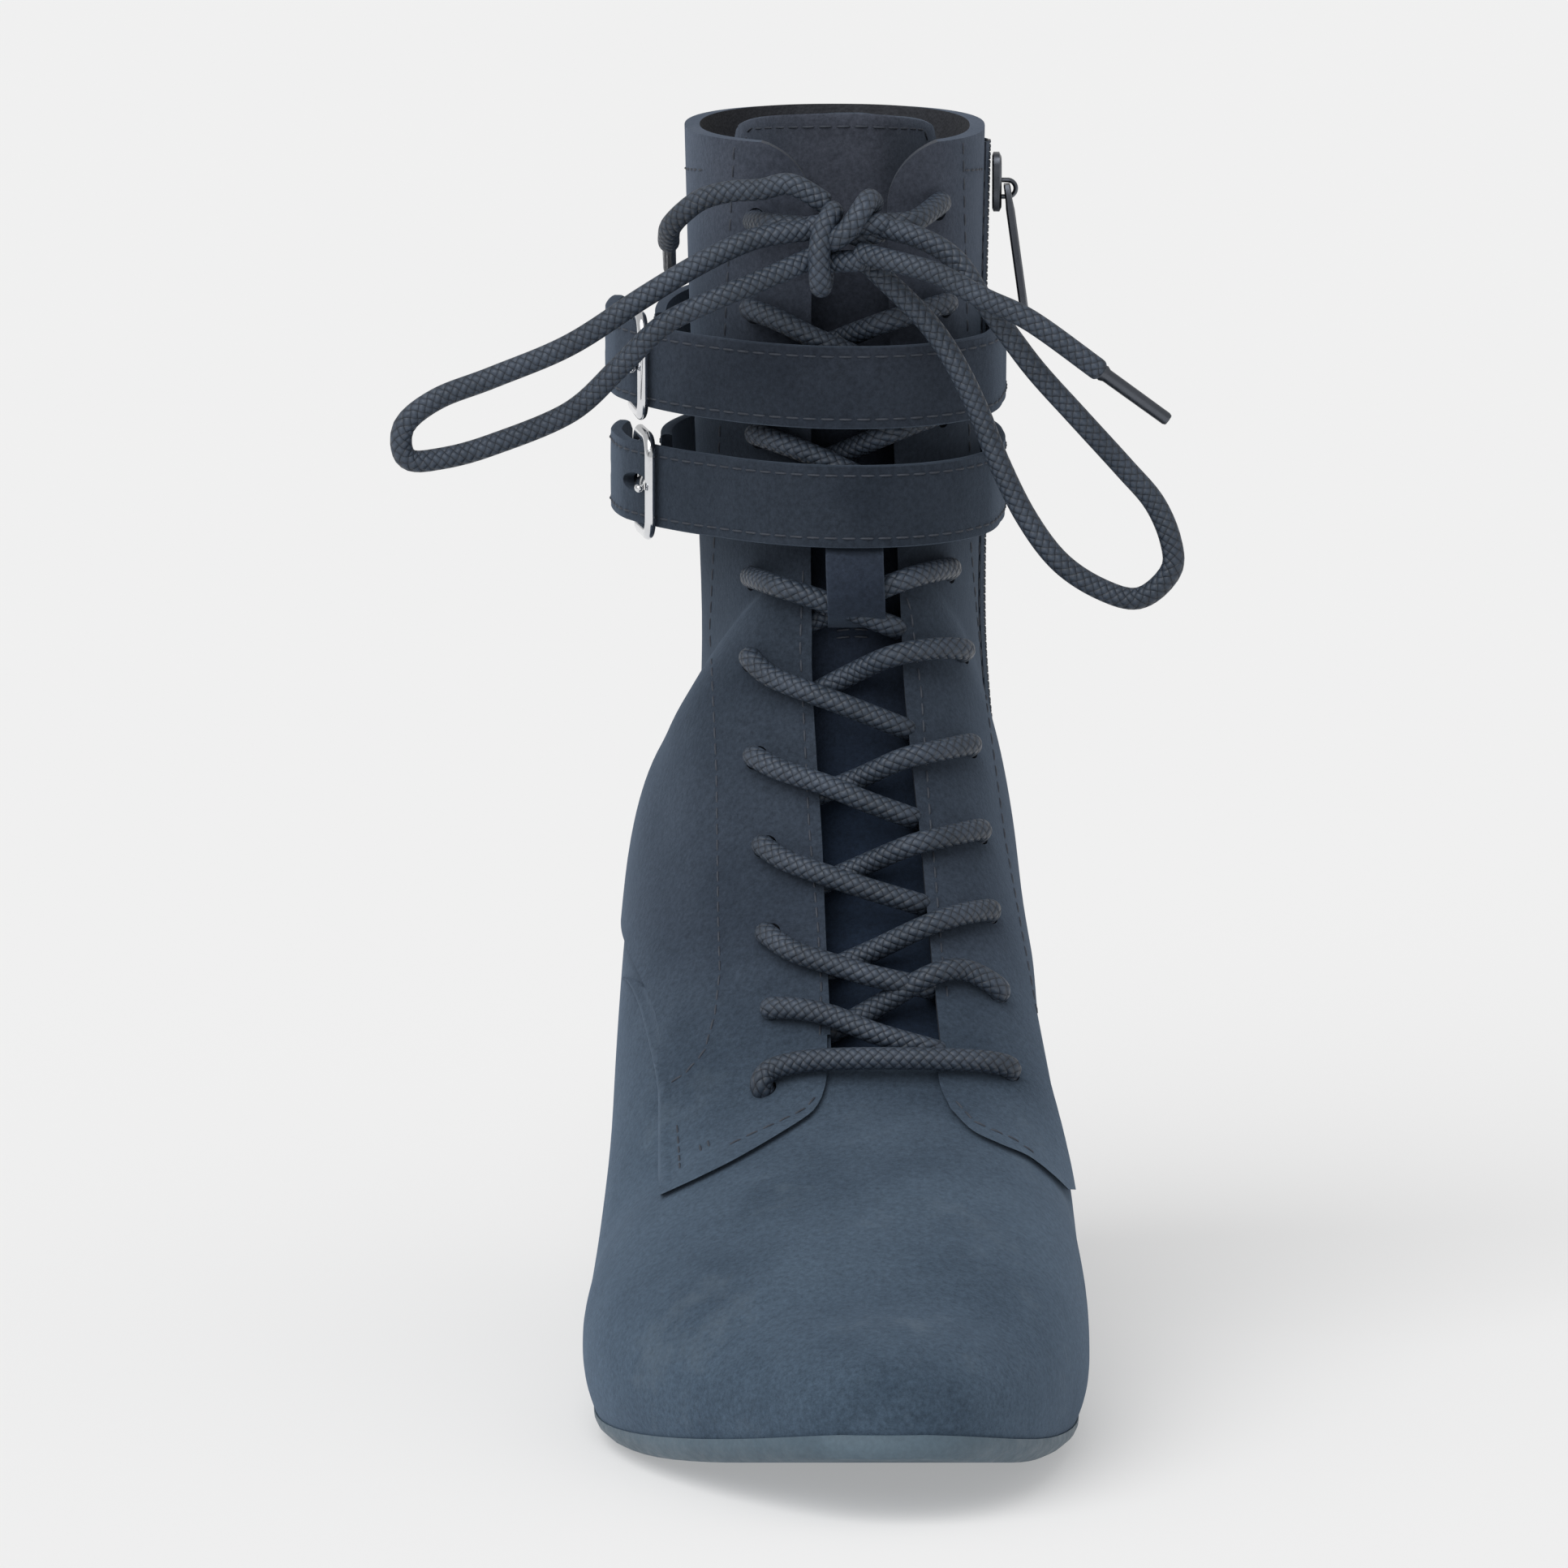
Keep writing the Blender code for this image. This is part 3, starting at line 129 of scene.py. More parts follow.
# Sections of the last, toe tip to collar. Each runs in a plane from a base, on the feather line or
# the back seam, to a top on the front ridge. along: share of BOOT_LENGTH from the heel back.
# lift: share of the heel's pitch. rise: share of SHAFT_HEIGHT. lateral, medial, centre, ridge:
# shares of half the ball width. belly: where it is widest, base to top. sweep: degrees from the
# ridge to the base. square: roundness, 2 is an ellipse.
Section = namedtuple("Section", "top_along top_lift top_rise base_along base_rise "
                                "lateral medial centre ridge belly sweep square")
SECTIONS = [
    Section(1.000, 0.00, 0.004, 1.000, 0.004, 0.00, 0.00, 0.17, 0.00, 0.35, 105, 2.0),
    Section(0.992, 0.00, 0.062, 0.996, 0.000, 0.19, 0.19, 0.17, 0.00, 0.35, 105, 2.0),
    Section(0.971, 0.00, 0.096, 0.979, 0.000, 0.345, 0.345, 0.175, 0.00, 0.35, 107, 2.0),
    Section(0.933, 0.00, 0.128, 0.946, 0.000, 0.51, 0.50, 0.165, 0.01, 0.34, 109, 2.1),
    Section(0.883, 0.00, 0.158, 0.896, 0.000, 0.70, 0.67, 0.13, 0.04, 0.31, 111, 2.2),
    Section(0.817, 0.00, 0.212, 0.825, 0.000, 0.87, 0.85, 0.06, 0.11, 0.28, 112, 2.2),
    Section(0.742, 0.00, 0.258, 0.750, 0.000, 0.985, 0.965, 0.02, 0.16, 0.26, 112, 2.2),
    Section(0.667, 0.00, 0.300, 0.671, 0.000, 1.02, 1.005, 0.00, 0.19, 0.25, 112, 2.2),
    Section(0.583, 0.05, 0.327, 0.583, 0.000, 1.00, 0.985, 0.00, 0.205, 0.25, 114, 2.2),
    Section(0.521, 0.17, 0.350, 0.500, 0.000, 0.965, 0.96, 0.00, 0.19, 0.28, 120, 2.2),
    Section(0.4625, 0.32, 0.378, 0.408, 0.000, 0.93, 0.905, 0.00, 0.165, 0.30, 127, 2.1),
    Section(0.4125, 0.48, 0.400, 0.308, 0.000, 0.91, 0.835, 0.00, 0.145, 0.32, 129, 2.1),
    Section(0.373, 0.64, 0.428, 0.208, 0.000, 0.885, 0.775, 0.00, 0.115, 0.32, 125, 2.1),
    Section(0.346, 0.78, 0.460, 0.108, 0.000, 0.85, 0.74, 0.00, 0.09, 0.32, 122, 2.1),
    Section(0.334, 0.86, 0.494, 0.050, 0.000, 0.80, 0.71, 0.00, 0.085, 0.30, 134, 2.1),
    Section(0.326, 0.92, 0.523, 0.014, 0.000, 0.70, 0.675, 0.00, 0.077, 0.28, 154, 2.1),
    Section(0.320, 0.95, 0.551, -0.003, 0.027, 0.58, 0.635, 0.00, 0.075, 0.29, 180, 2.1),
    Section(0.314, 0.98, 0.632, -0.017, 0.181, 0.54, 0.59, 0.00, 0.07, 0.40, 180, 2.1),
    Section(0.310, 1.00, 0.745, -0.008, 0.423, 0.56, 0.59, 0.00, 0.06, 0.48, 180, 2.2),
    Section(0.310, 1.00, 0.872, -0.010, 0.705, 0.59, 0.59, 0.00, 0.057, 0.50, 180, 2.3),
    Section(0.3125, 1.00, 1.000, -0.033, 1.000, 0.61, 0.605, 0.00, 0.057, 0.50, 180, 2.3),
]
LAST_ROW = len(SECTIONS) - 1
BACK_ROW = 16                 # first section that closes at the back seam
THROAT_ROW = 8

# Lacing rows from the throat up, in pitches; the straps cover the wide steps
EYELET_ROWS = (0, 1, 2, 3, 4, 5, 6, 7.5, 8.52, 9.38)

# Front and lower edge of the quarters: share of BOOT_LENGTH from the heel back, and height as a
# share of SHAFT_HEIGHT
QUARTER_LINE = [(0.70, 0.43), (0.70, 0.19), (0.546, 0.20), (0.54, 0.245), (0.525, 0.30),
                (0.49, 0.37), (0.43, 0.43), (0.34, 0.475), (0.20, 0.50), (0.05, 0.54)]

# Where the facings and the lateral wing stop, seen from the front: x as a share of half the ball
# width and height as a share of SHAFT_HEIGHT, at FACING_PLANE. The line falls towards the back
FACING_LINE = [
    (-1.30, 0.519), (-0.905, 0.511), (-0.831, 0.496), (-0.782, 0.465), (-0.750, 0.420),
    (-0.714, 0.362), (-0.705, 0.305), (-0.711, 0.246), (-0.569, 0.265), (-0.411, 0.288),
    (-0.234, 0.318), (-0.105, 0.343), (-0.063, 0.361), (-0.043, 0.385), (-0.040, 0.435),
    (0.406, 0.435), (0.411, 0.380), (0.456, 0.347), (0.540, 0.322), (0.652, 0.306),
    (0.765, 0.292), (0.862, 0.271), (0.933, 0.252), (1.30, 0.245)]
FACING_PLANE = 0.575          # share of the length
FACING_FALL = 0.184           # drop for each unit towards the back
FACING_REACH = (-0.33, 0.22)  # how far the cut runs forward and back, shares of the length
CUT_MARGIN = 30 * MM          # how far a cutter reaches past the boot


def blended(column, u):
    """A Catmull-Rom curve through one column of the sections; the toe end is mirrored."""
    values = [getattr(s, column) for s in SECTIONS]
    i = min(max(int(math.floor(u)), 0), LAST_ROW - 1)
    t = u - i
    odd = column in ("lateral", "medial")
    before = values[i - 1] if i > 0 else (2 * values[0] - values[1] if odd else values[1])
    a, b = values[i], values[i + 1]
    after = values[i + 2] if i + 2 <= LAST_ROW else 2 * b - a
    if column == "sweep" and i + 1 >= BACK_ROW:
        after = b
    return 0.5 * (2 * a + (b - before) * t + (2 * before - 5 * a + 4 * b - after) * t * t
                  + (3 * a - before - 3 * b + after) * t ** 3)


def y_at(along):
    return HEEL_OVERHANG - along * BOOT_LENGTH


def seat_height(along):
    """Height of the feather line: the toe spring, the flat tread and the rise to the heel seat."""
    if along > TREAD_FRONT:
        return SOLE_THICKNESS + TOE_SPRING * ((along - TREAD_FRONT) / (1 - TREAD_FRONT)) ** 2
    if along > TREAD_BACK:
        return SOLE_THICKNESS
    t = min((TREAD_BACK - along) / TREAD_BACK, 1)
    return SOLE_THICKNESS + (HEEL_HEIGHT - SOLE_THICKNESS) * (3 * t * t - 2 * t ** 3)


@lru_cache(maxsize=None)
def section_at(u):
    return {name: blended(name, u) for name in Section._fields}


def raw_point(u, v):
    """A point of the last: u is the section, v runs -1 lateral base, 0 ridge, 1 medial base."""
    row = section_at(u)
    spring = seat_height(max(row["top_along"], TREAD_FRONT))
    pitch = HEEL_HEIGHT - SOLE_THICKNESS
    top = Vector((0, y_at(row["top_along"]),
                  spring + row["top_lift"] * pitch + row["top_rise"] * SHAFT_HEIGHT))
    base = Vector((0, y_at(row["base_along"]),
                   seat_height(row["base_along"]) + row["base_rise"] * SHAFT_HEIGHT))
    if u > LAST_ROW:
        over = (u - LAST_ROW) * TONGUE_RISE
        top.z, base.z = COLLAR_Z + over, COLLAR_Z + over
    sweep = math.radians(min(row["sweep"], 180))
    angle = sweep * abs(v)
    power = row["square"]

    def reach(a):
        return (abs(math.cos(a)) ** power + abs(math.sin(a)) ** power) ** (-1 / power)
    above = 1 - row["belly"]
    below = row["belly"] / max(reach(sweep) * abs(math.cos(sweep)), 1e-6)
    share = math.cos(angle) * reach(angle) * (above if math.cos(angle) > 0 else below)
    half = row["lateral"] if v < 0 else row["medial"]
    side = math.copysign(half * math.sin(angle) * reach(angle), v)
    lean = row["ridge"] * max(share / above, 0) ** 2
    point = base.lerp(top, row["belly"] + share)
    point.x = (row["centre"] + side + lean) * HALF_BALL
    return point


def normal_at(u, v):
    step = 0.02
    v = min(max(v, -1 + step), 1 - step)
    u = min(max(u, step), LAST_ROW - step)
    along = raw_point(u + step, v) - raw_point(u - step, v)
    across = raw_point(u, v + step) - raw_point(u, v - step)
    return across.cross(along).normalized()


def upper_point(u, v, lift=0.0):
    """A point off the skin; on the toe's and the back's seams both sides meet."""
    out = normal_at(u, v)
    if u < 1e-6:
        out = Vector((0, -1, 0))
    if u >= BACK_ROW and abs(v) > 0.999:
        out = Vector((0, out.y, out.z)).normalized()
    return raw_point(u, v) + out * lift


def side_at(u, x, low=-0.7, high=0.7):
    """v where section u has this x."""
    for _ in range(30):
        middle = (low + high) / 2
        if raw_point(u, middle).x < x:
            low = middle
        else:
            high = middle
    return (low + high) / 2


def ridge_lengths(first=THROAT_ROW, last=LAST_ROW, steps=200):
    """u and the length along the ridge from the first section."""
    us = [first + (last - first) * i / steps for i in range(steps + 1)]
    lengths = [0.0]
    for a, b in zip(us, us[1:]):
        lengths.append(lengths[-1] + (raw_point(b, 0) - raw_point(a, 0)).length)
    return us, lengths


RIDGE_U, RIDGE_S = ridge_lengths()
THROAT_LENGTH = RIDGE_S[-1]


def u_at(length):
    return float(np.interp(length, RIDGE_S, RIDGE_U))


def half_gap(length):
    """Half the width between the facings, with the rounded upper corners."""
    share = min(max(length / THROAT_LENGTH, 0), 1)
    width = (GAP_BOTTOM + (GAP_TOP - GAP_BOTTOM) * share) / 2
    t = min(max((length - (THROAT_LENGTH - FLAP_CORNER)) / FLAP_CORNER, 0), 1)
    return width + FLAP_CORNER * (1 - math.sqrt(1 - 0.98 * t * t))


def row_length(row, side=-1):
    skew = EYELET_SKEW if row <= KEEPER_ROW else TOP_SKEW
    return EYELET_START + EYELET_ROWS[row] * EYELET_PITCH + (skew if side > 0 else 0)


def straight_half(length):
    return (GAP_BOTTOM + (GAP_TOP - GAP_BOTTOM) * length / THROAT_LENGTH) / 2


def eyelet(row, side):
    """u and v of an eyelet; side is -1 lateral or 1 medial."""
    length = row_length(row, side)
    u = u_at(length)
    x = raw_point(u, 0).x + side * (straight_half(length) + EYELET_INSET)
    return u, side_at(u, x)


def smooth_points(points, count):
    """Points evenly spaced on a Catmull-Rom curve through the route's own points."""
    p = [Vector(q) for q in points]
    p = [2 * p[0] - p[1]] + p + [2 * p[-1] - p[-2]]
    fine = []
    for i in range(1, len(p) - 2):
        for k in range(12):
            t = k / 12
            fine.append(0.5 * (2 * p[i] + (p[i + 1] - p[i - 1]) * t
                               + (2 * p[i - 1] - 5 * p[i] + 4 * p[i + 1] - p[i + 2]) * t * t
                               + (3 * p[i] - p[i - 1] - 3 * p[i + 1] + p[i + 2]) * t ** 3))
    fine.append(p[-2])
    lengths = [0.0]
    for a, b in zip(fine, fine[1:]):
        lengths.append(lengths[-1] + (b - a).length)
    wanted = [lengths[-1] * i / (count - 1) for i in range(count)]
    return [Vector(np.array([np.interp(w, lengths, [q[axis] for q in fine]) for axis in range(3)]))
            for w in wanted]


@lru_cache(maxsize=None)
def skin_at_height(v, z, lift=0.0):
    """The skin's point at one v and height, found along the sections of the shaft."""
    low, high = 9.0, float(LAST_ROW)
    for _ in range(26):
        middle = (low + high) / 2
        if raw_point(middle, v).z < z:
            low = middle
        else:
            high = middle
    return upper_point(low, v, lift)


def skin_at_side(y, z, lift=0.0):
    """The medial skin's point at one y and height: sections lie one behind the other there."""
    low_u, high_u = 9.0, float(LAST_ROW)
    v = 0.5
    for _ in range(22):
        u = (low_u + high_u) / 2
        if raw_point(u, 0).z < z:
            low_u = u
            continue
        if raw_point(u, 1).z > z:
            high_u = u
            continue
        top, base = 0.0, 1.0
        for _ in range(22):
            v = (top + base) / 2
            if raw_point(u, v).z > z:
                top = v
            else:
                base = v
        if raw_point(u, v).y < y:
            low_u = u
        else:
            high_u = u
    return upper_point(low_u, v, lift)


# Strap route as (turn, stand off in strap thicknesses). Turn runs from the free end on the lateral
# side over the front (0) and the medial side (0.5) to the back (1) and on to the chape
STRAP_STANDS = [
    (-0.62, 7.0), (-0.52, 7.3), (-0.42, 6.8), (-0.32, 5.2), (-0.22, 3.8), (-0.10, 3.2), (0.0, 3.1),
    (0.10, 3.3), (0.18, 3.3), (0.26, 3.1), (0.35, 2.1), (0.50, 1.45), (0.70, 1.1), (0.85, 0.8),
    (1.0, 0.7), (1.15, 0.9), (1.30, 1.6), (1.45, 2.4), (1.555, 2.8)]
BUCKLE_FRONT = -0.335
BUCKLE_REAR = -0.435
PRONG_HOLE = -0.387


def strap_stand(turn):
    turns = [t for t, _ in STRAP_STANDS]
    stands = [s for _, s in STRAP_STANDS]
    return float(np.interp(turn, turns, stands)) * STRAP_THICKNESS


def strap_point(turn, middle_z, tilt, side=0.0, lift=0.0):
    """A point of a strap; side is across its width, -1 to 1, and lift off its middle line."""
    v = turn if turn <= 1 else turn - 2
    back = (1 - math.cos(math.pi * v)) / 2
    z = middle_z + tilt * back + side * STRAP_WIDTH / 2
    middle = skin_at_height(v, middle_z + tilt * back)
    middle.z = z
    flat = normal_at_height(v, middle_z + tilt * back)
    leaned = skin_at_height(v, z) - middle
    hug = max(1 - strap_stand(turn) / (4 * STRAP_THICKNESS), 0)
    return middle + Vector((leaned.x, leaned.y, 0)) * hug + flat * (
        OVERLAY + GAP + strap_stand(turn) + lift)


@lru_cache(maxsize=None)
def normal_at_height(v, z):
    step = 0.02
    a = skin_at_height(max(v - step, -1), z)
    b = skin_at_height(min(v + step, 1), z)
    run = b - a
    out = Vector((run.y, -run.x, 0))
    if abs(v) > 1 - step:
        out = Vector((0, 1, 0))
    return out.normalized()


def tongue_depth(length):
    """How far the tongue's outer face lies under the upper's outer skin."""
    seated = WALL + GAP
    t = min(max((length + 4 * MM) / TONGUE_SINK, 0), 1)
    lean = TONGUE_LEAN * max(length / THROAT_LENGTH - 0.72, 0) / 0.28
    return seated + TONGUE_DROP * t * t * (3 - 2 * t) + lean


def tongue_point(u, share, length, deeper=0.0):
    """A point of the tongue; share runs -1 to 1 across it. Near the top it widens and leans back."""
    t = min(max((length / THROAT_LENGTH - 0.6) / 0.4, 0), 1)
    spread = TONGUE_SPREAD + (TONGUE_TOP_SPREAD - TONGUE_SPREAD) * t * t * (3 - 2 * t)
    below = LAST_ROW - 1.5
    if u > below:
        u = below + (u - below) * (1 - 0.5 * share ** 4)
    lean = tongue_depth(length) - tongue_depth(0.6 * THROAT_LENGTH) if t > 0 else 0
    return upper_point(u, spread * share, -tongue_depth(length) + 0.8 * lean * share ** 2 - deeper)


def lace_point(length, x, lift):
    """A point over the lacing: length up the ridge, x from the ridge, lift off the skin."""
    u = u_at(length)
    middle = raw_point(u, 0)
    v = side_at(u, middle.x + x)
    return upper_point(u, v, lift)


# Laces over the facings, and the slider's arch
ON_TOP = OVERLAY + 0.7 * MM + LACE / 2
ARCH_INNER = 1.1 * MM
ARCH_BAR = 0.9 * MM

# Bow: route points in millimetres from the middle of the knot
LEFT_LOOP = [
    (-8, -1, 1), (-15, -2.5, -0.5), (-21, -4, -2.5), (-28, -5, -6), (-37, -5, -11.5), (-50, -4, -20),
    (-64, -3, -26), (-74, -2, -30), (-80, -2, -35), (-79.5, -1, -41), (-73, 0, -41),
    (-64, 0, -38.5), (-50, -1, -32.5), (-41, -4, -24), (-33, -7, -16), (-23, -8, -11),
    (-15, -5.5, -8), (-7, -2, -6)]
RIGHT_LOOP = [
    (6, -2.2, 1.8), (13, -4, -0.6), (19.4, -5, -4.4), (24, -6, -11), (28.5, -7, -17),
    (34, -8, -24.2), (41.5, -8, -32.5), (50, -6, -42), (55.5, -5, -48.5), (58.5, -5, -55.5), (58.5, -5, -61),
    (53, -4, -66), (46, -3, -64.5), (38.5, -3, -59.5), (32.5, -3, -51.5), (27.5, -3, -41.5),
    (23.5, -3, -31.5), (19, -3, -22.5), (13.5, -1.5, -15), (5, 0.5, -8)]
LEFT_END = [
    (-5, 2, 7.5), (-10, 1.5, 8.5), (-15.5, 2.5, 7.5), (-21, 4, 7), (-26, 6, 5.5), (-29.5, 8.5, 2.8),
    (-31.8, 12, 0), (-32.3, 16, -2.2), (-32.3, 20.5, -4.2)]
RIGHT_END = [
    (2, -5, -4.6), (8, -7.5, -4.4), (16, -10.5, -6.4), (24.5, -13.5, -10.6), (33, -15.5, -14.5),
    (46, -14.5, -24)]
AGLET_LENGTH = 14.5 * MM
AGLET = 2.5 * MM
KNOT_SIZE = (6.2 * MM, 4.8 * MM, 7.0 * MM)


def knot_middle():
    """The knot stands off the lacing a little under the top eyelets."""
    length = row_length(len(EYELET_ROWS) - 1) - 2.5 * MM
    front = raw_point(u_at(length), 0)
    return front + Vector((-0.6 * MM, -(ON_TOP + LACE / 2 + KNOT_SIZE[1] + GAP), 0))


def at_knot(way):
    """Offset from the knot's middle to just off its surface, toward a route point."""
    run = Vector(way).normalized()
    size = sum((c / s) ** 2 for c, s in zip(run, KNOT_SIZE)) ** -0.5
    return run * (size + 2 * GAP)


# Sections that carry rings of the upper and of the sole, and the straps' places
LEVELS = [0.0, 0.5, 1.0, 1.5, 2.0, 2.6, 3.2, 4.0, 4.8, 5.7, 6.6, 7.4, 8.1, 8.9, 9.7, 10.6,
          11.5, 12.4, 13.2, 13.8, 14.4, 15.0, 15.5, 16.0, 16.5, 17.2, 18.0, 19.0, 20.0]
SOLE_LEVELS = [0.0, 0.25, 0.5, 1.0, 1.5, 2.0, 2.6, 3.2, 4.0, 5.0, 6.0, 6.55, 7.2, 7.8, 8.4, 9.0, 9.6,
               10.3, 11.0, 11.8, 12.6, 13.2, 13.8, 14.3, 14.8, 15.2, 15.6, 15.85]
STRAPS = [("lower", LOWER_STRAP_Z, 2 * MM), ("upper", UPPER_STRAP_Z, UPPER_STRAP_TILT)]


# Camera and light. The focal length and the place come from the photograph's perspective
PHOTO = 1932                  # pixels on each side of the photograph
FOCAL_PIXELS = 13500
CAMERA_AT = Vector((-9.45 * MM, -2.025, 0.400))
CAMERA_DOWN = 8.57            # degrees
FLOOR_GLOW = 0.33             # lifts the shadow on the floor


def new_object(name, mesh):
    made = bpy.data.objects.new(name, mesh)
    bpy.context.scene.collection.objects.link(made)
    return made


def finished(name, bm, look, sharp=None):
    bmesh.ops.recalc_face_normals(bm, faces=bm.faces)
    mesh = bpy.data.meshes.new(name)
    bm.to_mesh(mesh)
    bm.free()
    mesh.shade_smooth()
    if sharp:
        mesh.set_sharp_from_angle(angle=math.radians(sharp))
    mesh.materials.append(look)
    return new_object(name, mesh)


def skin_of_rings(rings, caps=True):
    bm = bmesh.new()
    rows = [[bm.verts.new(p) for p in ring] for ring in rings]
    count = len(rings[0])
    for low, high in zip(rows, rows[1:]):
        for i in range(count):
            j = (i + 1) % count
            bm.faces.new((low[i], low[j], high[j], high[i]))
    if caps:
        bm.faces.new(reversed(rows[0]))
        bm.faces.new(rows[-1])
    bmesh.ops.remove_doubles(bm, verts=bm.verts, dist=1e-7)
    return bm


def bake(target):
    graph = bpy.context.evaluated_depsgraph_get()
    mesh = bpy.data.meshes.new_from_object(target.evaluated_get(graph))
    target.modifiers.clear()
    target.data = mesh
    return target


def add(target, kind, **settings):
    made = target.modifiers.new(kind.title(), kind)
    for key, value in settings.items():
        setattr(made, key, value)
    return made


def show_as(piece, *nodes, slot=None):
    """The piece rides with the boot and stands for these CAD nodes."""
    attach(piece, "boot")
    if nodes:
        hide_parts(*nodes)
    return piece


def make_camera():
    data = bpy.data.cameras.new("camera")
    data.sensor_width = 36
    data.lens = 36 * FOCAL_PIXELS / PHOTO
    data.clip_end = 50
    made = bpy.data.objects.new("camera", data)
    bpy.context.scene.collection.objects.link(made)
    made.location = CAMERA_AT
    made.rotation_euler = (math.radians(90 - CAMERA_DOWN), 0, 0)
    bpy.context.scene.camera = made


def photo_ray(x, y):
    """Direction from the camera through a pixel of the photograph."""
    down = math.radians(CAMERA_DOWN)
    right = Vector((1, 0, 0))
    ahead = Vector((0, math.cos(down), -math.sin(down)))
    up = Vector((0, math.sin(down), math.cos(down)))
    run = ahead * FOCAL_PIXELS + right * (x - PHOTO / 2) - up * (y - PHOTO / 2)
    return run.normalized()


class Shader:
    """Short calls for the nodes of one material."""

    def __init__(self, name, roughness, metallic=0.0):
        self.material = bpy.data.materials.new(name)
        self.material.use_nodes = True
        self.tree = self.material.node_tree
        self.surface = self.tree.nodes["Principled BSDF"]
        self.surface.inputs["Roughness"].default_value = roughness
        self.surface.inputs["Metallic"].default_value = metallic
        self.coordinates = self.node("ShaderNodeTexCoord").outputs["Object"]

    def node(self, kind, **inputs):
        made = self.tree.nodes.new(kind)
        for key, value in inputs.items():
            socket = made.inputs[key.replace("_", " ")]
            if isinstance(value, bpy.types.NodeSocket):
                self.tree.links.new(value, socket)
            else:
                socket.default_value = value
        return made

    def noise(self, scale, detail=4.0, rough=0.6):
        return self.node("ShaderNodeTexNoise", Vector=self.coordinates, Scale=scale, Detail=detail,
                         Roughness=rough).outputs["Fac"]

    def ramp(self, factor, stops):
        made = self.node("ShaderNodeValToRGB", Fac=factor)
        ramp = made.color_ramp
        while len(ramp.elements) < len(stops):
            ramp.elements.new(0.5)
        for element, (place, colour) in zip(ramp.elements, stops):
            element.position = place
            element.color = (*colour, 1) if len(colour) == 3 else colour
        return made.outputs["Color"]

    def mix(self, factor, a, b, blend="MIX"):
        made = self.tree.nodes.new("ShaderNodeMix")
        made.data_type = "RGBA"
        made.blend_type = blend
        for socket, value in ((made.inputs[0], factor), (made.inputs[6], a), (made.inputs[7], b)):
            if isinstance(value, bpy.types.NodeSocket):
                self.tree.links.new(value, socket)
            elif isinstance(value, (int, float)):
                socket.default_value = value
            else:
                socket.default_value = (*value, 1)
        return made.outputs[2]

    def math(self, operation, a, b=0.0, clamp=False):
        made = self.tree.nodes.new("ShaderNodeMath")
        made.operation = operation
        made.use_clamp = clamp
        for socket, value in zip(made.inputs, (a, b)):
            if isinstance(value, bpy.types.NodeSocket):
                self.tree.links.new(value, socket)
            else:
                socket.default_value = value
        return made.outputs[0]

    def height(self):
        """World height in metres, the same as object height here."""
        return self.node("ShaderNodeSeparateXYZ", Vector=self.coordinates).outputs["Z"]

    def colour(self, value):
        self.tree.links.new(value, self.surface.inputs["Base Color"])

    def rough(self, value):
        self.tree.links.new(value, self.surface.inputs["Roughness"])

    def bump(self, value, strength, distance):
        made = self.node("ShaderNodeBump", Height=value, Strength=strength, Distance=distance)
        self.tree.links.new(made.outputs["Normal"], self.surface.inputs["Normal"])


def suede(name, painted_light_and_shade):
    """Short napped suede, with painted light and shade in its colour going with the height, and brushed
    patches.
    """
    s = Shader(name, 0.94)
    # Painted light and shade: the colour is lighter at the vamp and the collar's top and darker up the shaft.
    base = s.ramp(s.math("DIVIDE", s.height(), SHADE_TOP, clamp=True), painted_light_and_shade)
    brushed = s.noise(38, 5, 0.62)
    patches = s.ramp(brushed, [(0.34, (0.76, 0.78, 0.80)), (0.5, (1, 1, 1)), (0.68, (1.22, 1.20, 1.18))])
    fibres = s.noise(1100, 4, 0.75)
    nap = s.ramp(fibres, [(0.3, (0.66, 0.66, 0.66)), (0.7, (1.36, 1.36, 1.36))])
    cloth = s.mix(1.0, s.mix(1.0, base, patches, "MULTIPLY"), nap, "MULTIPLY")
    low = s.ramp(s.math("DIVIDE", s.height(), SHADE_TOP, clamp=True), [(0.16, (1, 1, 1)), (0.34, (0, 0, 0))])
    dust = s.ramp(s.noise(48, 7, 0.72), [(0.55, (0, 0, 0)), (0.74, (0.5, 0.5, 0.5))])
    s.colour(s.mix(s.math("MULTIPLY", dust, low), cloth, (0.105, 0.135, 0.165)))
    relief = s.math("ADD", s.math("MULTIPLY", fibres, 0.7), s.math("MULTIPLY", s.noise(420, 3), 0.5))
    s.bump(relief, 0.45, 0.0004)
    s.surface.inputs["Sheen Weight"].default_value = 0.25
    s.surface.inputs["Sheen Roughness"].default_value = 0.55
    s.surface.inputs["Sheen Tint"].default_value = (0.42, 0.56, 0.76, 1)
    s.surface.inputs["Specular IOR Level"].default_value = 0.12
    return s.material


def thread_look():
    s = Shader("seam_thread", 0.7)
    s.colour(s.ramp(s.noise(900), [(0.3, (0.026, 0.032, 0.045)), (0.7, (0.043, 0.052, 0.070))]))
    s.bump(s.noise(2600, 2), 0.3, 0.0002)
    return s.material


